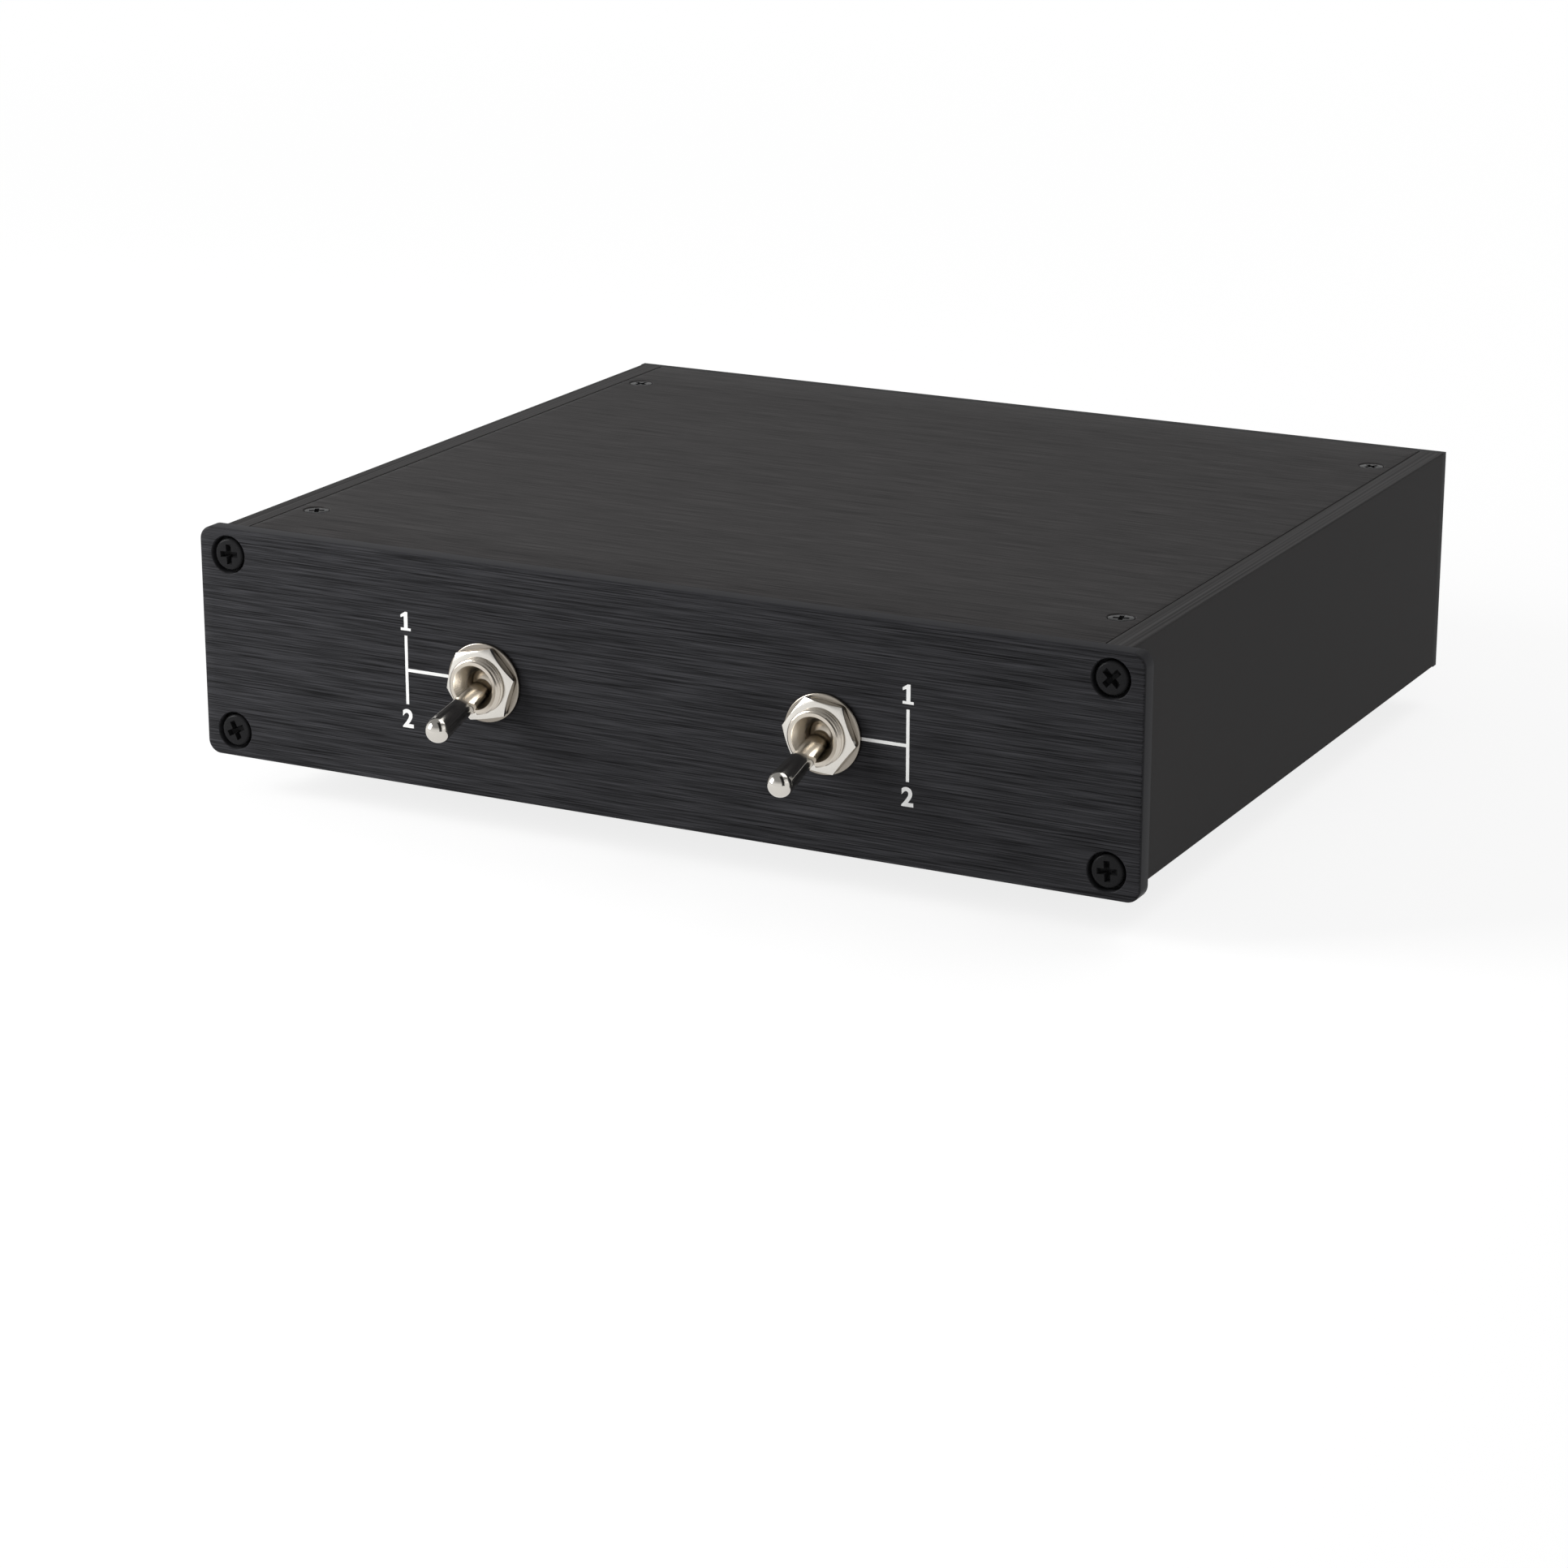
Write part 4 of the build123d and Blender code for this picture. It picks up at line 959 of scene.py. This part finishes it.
class SELECTOR_OT_bushings(bpy.types.Operator):
    """Threaded bushings with their mouths, bores and keyways"""

    bl_idname = "selector.bushings"
    bl_label = "Bushings"

    def execute(self, context):
        settings = context.scene.selector_switches
        thread, pitch, depth = in_mm(settings, "thread", "pitch", "thread_depth")
        mouth, mouth_depth, lip = in_mm(settings, "mouth", "mouth_depth", "lip")
        keyway, keyway_depth, pin = in_mm(settings, "keyway_width", "keyway_depth", "pin")
        rod = thread_tree()
        spigot_radius, chamfer, over, slot_corner = 4.9, 0.2, 0.3, 0.1
        finish = nickel("satin nickel plate", settings.satin, "#ccc5bb", 0.26)
        for side, pivot in PIVOTS.items():
            low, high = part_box(f"{side}_switch_bushing")
            proud = (FRONT_Y - low.y) / MM
            frame_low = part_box(f"{side}_switch_frame")[0]
            shoulder, back = (frame_low.y - FRONT_Y) / MM, (high.y - FRONT_Y) / MM
            body = grow(
                rod, Radius=thread, Length=proud + shoulder, Pitch=pitch, Depth=depth, Steps=96,
                Rows_per_turn=8,
            )
            body.transform(Matrix.Translation((0, 0, -shoulder)))
            spigot = lathe((spigot_radius, -back), (spigot_radius, 0), steps=64)
            body = carve(body, spigot, "UNION")
            pivot_depth = (pivot.y - FRONT_Y) / MM
            seat, seat_end = self.seat(settings, pivot_depth)
            bore = lathe(
                (seat, -back - PAST), (seat, -seat_end), (lip, -seat_end), (lip, proud - mouth_depth),
                (mouth, proud - chamfer), (mouth + chamfer + over, proud + over), steps=64,
            )
            slot = plate(keyway, 2 * keyway_depth, proud + shoulder + 2 * PAST, slot_corner, 0.0)
            cuts = joined([
                (bore, Matrix.Identity(4)),
                (slot, Matrix.Translation((0, -thread, -shoulder - PAST))),
                (cross_hole(pin, thread + PAST), Matrix.Translation((0, 0, -pivot_depth))),
            ])
            mesh = carve(body, cuts)
            place = stand(pivot.x, FRONT_Y, pivot.z, "front")
            piece(f"threaded_{side}_bushing", mesh, "case", finish, "bushing_nickel",
                  f"{side}_switch_bushing", place=place)
        return {"FINISHED"}

    def seat(self, settings, pivot_depth):
        """Radius of the bore round the knuckle, and the depth where the lip ends."""
        knuckle, half, lip = in_mm(settings, "knuckle", "knuckle_half", "lip")
        clearance = 0.1
        radius = sqrt(knuckle**2 + half**2) + clearance
        return radius, pivot_depth - sqrt(radius**2 - lip**2)


def nickel(name, tone, shade, roughness):
    """Nickel plating on turned brass: bright and a little warm, with a faint grain."""
    return speckled(name, tone, linear(shade), roughness, 0.25, 0.003, 1.0)


class SELECTOR_OT_nuts(bpy.types.Operator):
    """Washers and chamfered nuts of the switches"""

    bl_idname = "selector.nuts"
    bl_label = "Nuts and Washers"

    def execute(self, context):
        settings = context.scene.selector_switches
        thread, radius, flats = in_mm(settings, "thread", "washer", "nut")
        washers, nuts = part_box("switch_washers"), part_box("switch_nuts")
        thickness = (FRONT_Y - washers[0].y) / MM
        height = (washers[0].y - nuts[0].y) / MM
        ring = eased([
            (thread, 0, 0.1), (radius, 0, 0.2), (radius, thickness, 0.3), (thread, thickness, 0.2),
        ])
        washer = turned(ring, 72)
        corner = flats / sqrt(3)
        corners = [(corner * cos(tau * i / 6), corner * sin(tau * i / 6)) for i in range(6)]
        hexagon = skin([[(*point, level) for point in corners] for level in (0, height)])
        # Both faces of a nut are coned at 30 degrees, from just inside its flats.
        face, reach = flats / 2 - 0.15, corner + 0.1
        drop = (reach - face) * tan(radians(30))
        envelope = lathe((face, 0), (reach, drop), (reach, height - drop), (face, height), steps=96)
        # The bore's wall sinks a little into the bushing's thread, and its ends are chamfered.
        sunk = 0.25
        wall, flare = thread - sunk, thread + PAST
        bore = lathe((flare, -PAST), (wall, sunk), (wall, height - sunk), (flare, height + PAST), steps=64)
        nut = carve(carve(hexagon, envelope, "INTERSECT"), bore)
        bright = nickel("bright nickel plate", settings.nickel, "#dbd8d2", 0.2)
        dull = nickel("dull nickel plate", settings.dull, "#979087", 0.25)
        washer_places, nut_places = [], []
        for side, turn in (("left", settings.left_turn), ("right", settings.right_turn)):
            x, z = PIVOTS[side].x, PIVOTS[side].z
            washer_places += [stand(x, FRONT_Y, z, "front"), stand(x, BODY_Y, z, "back")]
            nut_places.append(stand(x, washers[0].y, z, "front", turn))
            nut_places.append(stand(x, washers[1].y, z, "back", -turn))
        mesh = repeated(washer, washer_places, dull)
        piece("plated_washers", mesh, "case", dull, "washer_nickel", "switch_washers")
        mesh = repeated(nut, nut_places, bright)
        piece("chamfered_nuts", mesh, "case", bright, "nut_nickel", "switch_nuts")
        return {"FINISHED"}


class SELECTOR_OT_levers(bpy.types.Operator):
    """Bat levers with their knuckles and hollow tails"""

    bl_idname = "selector.levers"
    bl_label = "Levers"

    def execute(self, context):
        settings = context.scene.selector_switches
        reach, tip, neck, neck_end = in_mm(settings, "lever_length", "tip", "neck", "neck_length")
        knuckle, half, tail, tail_end = in_mm(settings, "knuckle", "knuckle_half", "tail", "tail_length")
        bore, bore_end, pin, gap = in_mm(settings, "tail_bore", "tail_bore_end", "pin", "pin_clearance")
        ball = sqrt(knuckle**2 + half**2)
        shank = reach - neck_end
        taper = asin(tip / sqrt(neck**2 + shank**2)) - atan2(neck, shank)
        # Down the axis and the hollow tail, up round the knuckle, past the neck's step to the ball tip.
        profile = [Vector((0, reach + tip)), Vector((0, -bore_end))]
        profile += [Vector((bore, -bore_end)), Vector((bore, -tail_end)), Vector((tail, -tail_end))]
        low, high = -sqrt(ball**2 - tail**2), sqrt(ball**2 - neck**2)
        round_part = arc(ball, atan2(low, tail), atan2(high, neck))
        profile += [Vector((min(point.x, knuckle), point.y)) for point in round_part]
        step_out, step_length = 0.12, 0.35
        profile += [Vector((neck, neck_end - step_length)), Vector((neck + step_out, neck_end))]
        profile += arc(tip, -taper, pi / 2, reach)[:-1]
        body = carve(turned(profile, 64), cross_hole(pin + gap, knuckle + PAST))
        neck_y = next(iter(PIVOTS.values())).y - settings.neck_length * cos(settings.tilt)
        finish = self.polished(settings, neck_y)
        for side, pivot in PIVOTS.items():
            place = Matrix.Translation(pivot) @ Matrix.Rotation(settings.tilt, 4, "X")
            place = place @ FACINGS["front"] @ Matrix.Scale(MM, 4)
            piece(f"polished_{side}_lever", body.copy(), f"{side}_lever", finish, "lever_nickel",
                  f"{side}_switch_lever", place=place, sharp=40)
        return {"FINISHED"}

    def polished(self, settings, neck_y):
        """Nickel plate, polished on the bat and left satin on the neck and knuckle, where a warmer tone is painted
        in as a painted reflection of the bushing's mouth.
        """
        smooth, worn = 0.1, 0.32
        made, tree, shader = new_finish("polished nickel plate", smooth, 1.0)
        coords = add(tree, "ShaderNodeTexCoord").outputs["Object"]
        depth = add(tree, "ShaderNodeSeparateXYZ", coords).outputs["Y"]
        # The polish ends over half a millimetre at the neck's step, and there the tone turns to the satin colour:
        # rougher plate, and a painted reflection of the bushing's mouth.
        satin = add(tree, "ShaderNodeMapRange", depth, neck_y - 0.3 * MM, neck_y + 0.2 * MM, 0.0, 1.0)
        rough = add(tree, "ShaderNodeMapRange", satin, 0.0, 1.0, smooth, worn)
        # Bat tone, then the neck's warmer tone, which is a painted reflection of the bushing's mouth.
        polish_and_painted_reflection_tones = {6: settings.nickel, 7: settings.satin}
        tone = add(tree, "ShaderNodeMix", satin, data_type="RGBA", inputs=polish_and_painted_reflection_tones)
        tree.links.new(rough.outputs[0], shader.inputs["Roughness"])
        tree.links.new(tone.outputs[2], shader.inputs["Base Color"])
        bump(tree, shader, noise(tree, (0.6, 0.6, 0.6), 3.0), 0.001)
        return made


class SELECTOR_OT_switch_insides(bpy.types.Operator):
    """Springs and the finishes of the pieces inside the switches"""

    bl_idname = "selector.switch_insides"
    bl_label = "Switch Insides"

    def execute(self, context):
        settings = context.scene.selector_switches
        # Drawn steel wire: a clean grey shine.
        steel = speckled("spring steel", settings.steel, linear("#8f8f8e"), 0.3, 0.2, 0.002, 1.0)
        # Nylon: creamy white, and a little light goes into it.
        nylon = speckled(
            "moulded nylon", settings.acetal, linear("#cfcabb"), 0.4, 0.5, 0.004, Subsurface_Weight=0.1
        )
        # Zinc plate on pressed sheet: pale grey with broad, faint spangles.
        zinc = speckled("zinc plated steel", linear("#b4b5b2"), linear("#a2a3a0"), 0.35, 1.2, 0.004, 1.0)
        # Phenolic: chocolate brown with a fine filler that dulls it.
        phenolic = speckled("moulded phenolic", settings.phenolic, linear("#482414"), 0.45, 0.4, 0.01)
        # Acetal: milky and slick.
        acetal = speckled("moulded acetal", settings.acetal, linear("#d2cdbe"), 0.35, 0.6, 0.004)
        # Silver plate on stamped copper: soft, warm white metal.
        silver = speckled("silver plated copper", settings.silver, linear("#b9b5aa"), 0.3, 0.5, 0.003, 1.0)
        finishes = {
            "pivot_pin": steel, "plunger": nylon, "frame": zinc, "base": phenolic, "cradle": acetal,
            "blades": silver, "terminals": silver,
        }
        coil, tail = coil_tree(), settings.tail_bore_end / MM
        radius, wire, height = 0.95, 0.25, 2.6
        for side, pivot in PIVOTS.items():
            for name, finish in finishes.items():
                dress(f"{side}_switch_{name}", finish)
            spring = grow(coil, Radius=radius, Height=height - 2 * wire, Wire=wire, Turns=3.0)
            place = Matrix.Translation(pivot) @ Matrix.Rotation(settings.tilt, 4, "X") @ FACINGS["front"]
            place = place @ Matrix.Scale(MM, 4) @ Matrix.Translation((0, 0, -tail - height + wire))
            piece(f"coiled_{side}_spring", spring, f"{side}_lever", steel, "spring_steel",
                  f"{side}_switch_spring", place=place)
        return {"FINISHED"}


class SELECTOR_OT_posts(bpy.types.Operator):
    """Moulded blocks, threaded studs, tags and nuts of the binding posts"""

    bl_idname = "selector.posts"
    bl_label = "Binding Posts"

    def execute(self, context):
        settings = context.scene.selector_posts
        corner, edge, stud, pitch = in_mm(settings, "block_corner", "block_edge", "stud", "stud_pitch")
        flange, flange_height, socket = in_mm(settings, "stud_flange", "stud_flange_thickness", "socket")
        low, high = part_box("post_blocks")
        studs_low, studs_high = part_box("post_studs")
        size, thickness = (high.z - low.z) / MM, (high.y - REAR_Y) / MM
        families = sorted({name.rsplit("_", 2)[0] for name in SOCKETS})
        # A boss on each block's back fills the rear panel's cutout.
        boss_inset, boss_corner, boss_height, boss_sunk, deep = 6.2, 0.5, 3, 2.0, 9
        # Moulded plastic: satin black with a fine spark texture.
        plastic = speckled("moulded ABS", settings.block, linear("#262627"), 0.5, 0.35, 0.012)
        seat = lathe(
            (stud, -deep), (stud, -flange_height), (flange, -flange_height), (flange, PAST), steps=40
        )
        parts = []
        for family in families:
            places = [place for name, place in SOCKETS.items() if name.startswith(f"{family}_")]
            centre_x = sum(place.x for place in places) / len(places)
            boss = plate(size - boss_inset, size - boss_inset, boss_height, boss_corner, 0.0)
            boss.transform(Matrix.Translation((0, 0, -boss_sunk)))
            block = carve(plate(size, size, thickness, corner, edge), boss, "UNION")
            cuts = []
            for place in places:
                offset = (-(place.x - centre_x) / MM, (place.z - MIDDLE_Z) / MM, thickness)
                cuts.append((seat, Matrix.Translation(offset)))
            parts.append((carve(block, joined(cuts)), stand(centre_x, REAR_Y, MIDDLE_Z, "back")))
        piece("moulded_post_blocks", joined(parts), "case", plastic, "block_abs", "post_blocks")

        # Gold flash over brass: warm and bright.
        gold = speckled("gold plated brass", settings.gold, linear("#c79f50"), 0.22, 0.4, 0.002, 1.0)
        reach = (studs_high.y - studs_low.y) / MM
        rod = grow(
            thread_tree(), Radius=stud, Length=reach, Pitch=pitch, Depth=0.45, Steps=24, Rows_per_turn=4
        )
        level = (high.y - studs_low.y) / MM
        under, rounding = level - flange_height, 0.2
        collar = eased([(0, under, 0), (flange, under, rounding), (flange, level, rounding), (0, level, 0)])
        rod = carve(rod, turned(collar, 40), "UNION")
        socket_depth, chamfer = 12, 0.3
        rim = reach - chamfer
        drill = lathe((socket, reach - socket_depth), (socket, rim), (socket + PAST, rim + PAST), steps=32)
        rod = carve(rod, drill)
        places = [stand(place.x, studs_low.y, place.z, "back") for place in SOCKETS.values()]
        piece("threaded_post_studs", repeated(rod, places, gold), "case", gold, "stud_brass", "post_studs")

        # Pressed fibre: brown, matt and faintly felted.
        fibre = speckled("pressed fibre board", settings.fibre, linear("#5c3f24"), 0.7, 0.8, 0.02)
        dress("post_inner_plates", fibre)
        # Tin plate: soft grey, a little uneven where it flowed.
        tin = speckled("tinned brass", settings.tin, linear("#a3a39f"), 0.35, 0.7, 0.005, 1.0)
        dress("solder_tags", tin)
        # Turned brass: yellow and bright.
        brass = speckled("bright brass", settings.brass, linear("#b8934a"), 0.28, 0.4, 0.003, 1.0)
        dress("post_nuts", brass)
        return {"FINISHED"}


class SELECTOR_OT_caps(bpy.types.Operator):
    """Fluted caps of the binding posts, red for plus and black for minus"""

    bl_idname = "selector.caps"
    bl_label = "Caps"

    def execute(self, context):
        settings = context.scene.selector_posts
        radius, bore, opening, wall, depth = in_mm(
            settings, "cap", "cap_bore", "cap_opening", "cap_wall", "flute_depth"
        )
        low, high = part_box(f"{next(iter(SOCKETS))}_cap")
        reach = (high.y - low.y) / MM
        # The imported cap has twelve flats; the round one stands a little proud of their middles.
        flats, proud = 12, 0.1
        outer = radius * cos(pi / flats) + proud
        # Extra rows along the wall carry the flutes' fading ends.
        rows = [(outer, reach * share, 0) for share in (0.2, 0.3, 0.4, 0.6, 0.8)]
        profile = eased([
            (bore, 0, 0.15), (outer, 0, 0.5), *rows, (outer, reach, 1.0),
            (opening, reach, 0.2), (opening, reach - wall, 0), (bore, reach - wall, 0),
        ], 3)
        body = turned(profile, 144)
        # Cast acrylic, tinted through: glossy, with a soft edge to its highlights.
        red = speckled(
            "red moulded acrylic", settings.red, linear("#8c100c"), 0.22, 0.8, 0.002, Coat_Weight=0.3
        )
        black = speckled(
            "black moulded acrylic", settings.black, linear("#232324"), 0.24, 0.8, 0.002, Coat_Weight=0.3
        )
        tree = flute_tree()
        for name, place in SOCKETS.items():
            finish, slot = (red, "cap_red") if name.endswith("_plus") else (black, "cap_black")
            mesh = grow(
                tree, body.copy(), Flutes=settings.flutes, Depth=depth, From=reach * 0.12, To=reach * 0.86,
                Run_out=1.2, Least_radius=outer - 0.4, Finish=finish,
            )
            piece(f"fluted_{name}_cap", mesh, f"{name}_cap", finish, slot, f"{name}_cap",
                  place=stand(place.x, low.y, place.z, "back"), sharp=50)
        return {"FINISHED"}


class SELECTOR_OT_wires(bpy.types.Operator):
    """Finish of the wires inside the case"""

    bl_idname = "selector.wires"
    bl_label = "Wires"

    def execute(self, context):
        # PVC insulation: smooth, with a soft shine.
        for node, tone, shade in (
            ("red_wires", "#a81c1c", "#8f1515"),
            ("black_wires", "#1c1c1c", "#262626"),
            ("link_wires", "#8a8c90", "#777a7e"),
        ):
            dress(node, speckled(f"PVC insulation, {node}", linear(tone), linear(shade), 0.4, 1.0, 0.004))
        return {"FINISHED"}


def looking_rays(tree):
    """1 for rays that show the surroundings, from the camera, off gloss or through glass, else 0."""
    path = add(tree, "ShaderNodeLightPath").outputs
    seen = add(tree, "ShaderNodeMath", path["Is Camera Ray"], path["Is Glossy Ray"], operation="MAXIMUM")
    return add(tree, "ShaderNodeMath", seen, path["Is Transmission Ray"], operation="MAXIMUM")


class SELECTOR_OT_stage(bpy.types.Operator):
    """Floor, soft light and camera"""

    bl_idname = "selector.stage"
    bl_label = "Stage"

    # Place and width of each lamp, in metres; its power is the setting of the same name.
    LAMPS = {
        "key": ((-0.62, -0.45, 0.34), 0.4),
        "fill": ((1.5, -0.2, 0.9), 0.9),
        "top": ((0.35, 0.6, 1.3), 1.1),
    }
    # Distances from the object, in metres, between which the floor's shadow fades away.
    NEAR, FAR = 0.3, 1.2

    def execute(self, context):
        settings = context.scene.selector_stage
        self.floor(settings)
        self.world(context, settings)
        for name, (place, size) in self.LAMPS.items():
            self.lamp(name, place, size, getattr(settings, name))
        self.camera(context, settings)
        return {"FINISHED"}

    def floor(self, settings):
        """Pale floor that looks white to the camera and keeps a soft shadow."""
        mesh = bpy.data.meshes.new("floor")
        corners = [(-1, -1), (1, -1), (1, 1), (-1, 1)]
        mesh.from_pydata([(FLOOR_REACH * x, FLOOR_REACH * y, 0) for x, y in corners], [], [(0, 1, 2, 3)])
        floor = linked(mesh, "pale_floor")
        made = bpy.data.materials.new("pale paper floor")
        made.use_nodes = True
        tree = made.node_tree
        tree.nodes.clear()
        place = add(tree, "ShaderNodeTexCoord").outputs["Object"]
        away = add(tree, "ShaderNodeVectorMath", place, operation="LENGTH").outputs["Value"]
        share = add(tree, "ShaderNodeMapRange", away, self.NEAR, self.FAR, 0.7, 1.0)
        share = add(tree, "ShaderNodeMath", looking_rays(tree), share, operation="MULTIPLY")
        matt = add(tree, "ShaderNodeBsdfDiffuse", settings.floor)
        level = add(tree, "ShaderNodeMapRange", away, self.NEAR, self.FAR, settings.glow, 1.0)
        glow = add(tree, "ShaderNodeEmission", (1, 1, 1, 1), level)
        mixed = add(tree, "ShaderNodeMixShader", share, matt, glow)
        add(tree, "ShaderNodeOutputMaterial", mixed)
        mesh.materials.append(made)

    def world(self, context, settings):
        """White surroundings for the camera and reflections, and an even weaker light."""
        world = bpy.data.worlds.new("white studio")
        context.scene.world = world
        world.use_nodes = True
        tree = world.node_tree
        tree.nodes.clear()
        way = add(tree, "ShaderNodeTexCoord").outputs["Generated"]
        height = add(tree, "ShaderNodeSeparateXYZ", way).outputs["Z"]
        bright = add(tree, "ShaderNodeMapRange", height, 0.2, 0.6, 1.0, settings.ceiling)
        # A dark gap between two white screens, which only polished metal shows.
        along = (sin(settings.gap), -cos(settings.gap), 0.0)
        across = (cos(settings.gap), sin(settings.gap), 0.0)
        ahead = add(tree, "ShaderNodeVectorMath", way, along, operation="DOT_PRODUCT").outputs["Value"]
        aside = add(tree, "ShaderNodeVectorMath", way, across, operation="DOT_PRODUCT").outputs["Value"]
        aside = add(tree, "ShaderNodeMath", aside, operation="ABSOLUTE")
        dark = add(tree, "ShaderNodeMapRange", aside, 0.15, 0.25, 0.05, 1.0)
        dark = add(tree, "ShaderNodeMapRange", ahead, 0.0, 0.2, 1.0, dark)
        direct = add(tree, "ShaderNodeLightPath").outputs["Is Camera Ray"]
        dark = add(tree, "ShaderNodeMath", dark, direct, operation="MAXIMUM")
        bright = add(tree, "ShaderNodeMath", bright, dark, operation="MULTIPLY")
        levels = {2: settings.ambient, 3: bright}
        strength = add(tree, "ShaderNodeMix", looking_rays(tree), data_type="FLOAT", inputs=levels)
        add(tree, "ShaderNodeOutputWorld", add(tree, "ShaderNodeBackground", (1, 1, 1, 1), strength))

    def lamp(self, name, place, size, power):
        """Soft square lamp that points at the object."""
        data = bpy.data.lights.new(name, "AREA")
        data.size = size
        data.energy = power
        made = linked(data, name)
        made.location = place
        made.rotation_euler = (Vector((0, 0, MIDDLE_Z)) - Vector(place)).to_track_quat("-Z", "Y").to_euler()

    def camera(self, context, settings):
        """Camera at its place and angles."""
        data = bpy.data.cameras.new("camera")
        data.sensor_width = 36
        data.lens = settings.lens
        made = linked(data, "camera")
        rise = Matrix.Rotation(pi / 2 - settings.elevation, 4, "X")
        turn = Matrix.Rotation(settings.azimuth, 4, "Z") @ rise
        made.matrix_world = Matrix.Translation(settings.camera) @ turn
        context.scene.camera = made
        context.scene.view_settings.view_transform = "Standard"


OPERATORS = (
    SELECTOR_OT_front_panel,
    SELECTOR_OT_covers,
    SELECTOR_OT_rails,
    SELECTOR_OT_screws,
    SELECTOR_OT_feet,
    SELECTOR_OT_print,
    SELECTOR_OT_bushings,
    SELECTOR_OT_nuts,
    SELECTOR_OT_levers,
    SELECTOR_OT_switch_insides,
    SELECTOR_OT_posts,
    SELECTOR_OT_caps,
    SELECTOR_OT_wires,
    SELECTOR_OT_stage,
)


class SELECTOR_PT_sidebar(bpy.types.Panel):
    """Lists the steps that build the selector"""

    bl_idname = "SELECTOR_PT_sidebar"
    bl_label = "Speaker Selector"
    bl_space_type = "VIEW_3D"
    bl_region_type = "UI"
    bl_category = "Selector"

    def draw(self, context):
        for operator in OPERATORS:
            self.layout.operator(operator.bl_idname)
        for name, group in SETTINGS.items():
            box = self.layout.box()
            for key in group.__annotations__:
                box.prop(getattr(context.scene, name), key)


def register():
    for kind in (*SETTINGS.values(), *OPERATORS, SELECTOR_PT_sidebar):
        bpy.utils.register_class(kind)
    for name, group in SETTINGS.items():
        setattr(bpy.types.Scene, name, bpy.props.PointerProperty(type=group))


def unregister():
    for name in SETTINGS:
        delattr(bpy.types.Scene, name)
    for kind in reversed((*SETTINGS.values(), *OPERATORS, SELECTOR_PT_sidebar)):
        bpy.utils.unregister_class(kind)


def main():
    register()
    for operator in OPERATORS:
        family, name = operator.bl_idname.split(".")
        getattr(getattr(bpy.ops, family), name)()


if __name__ == "__main__":
    main()
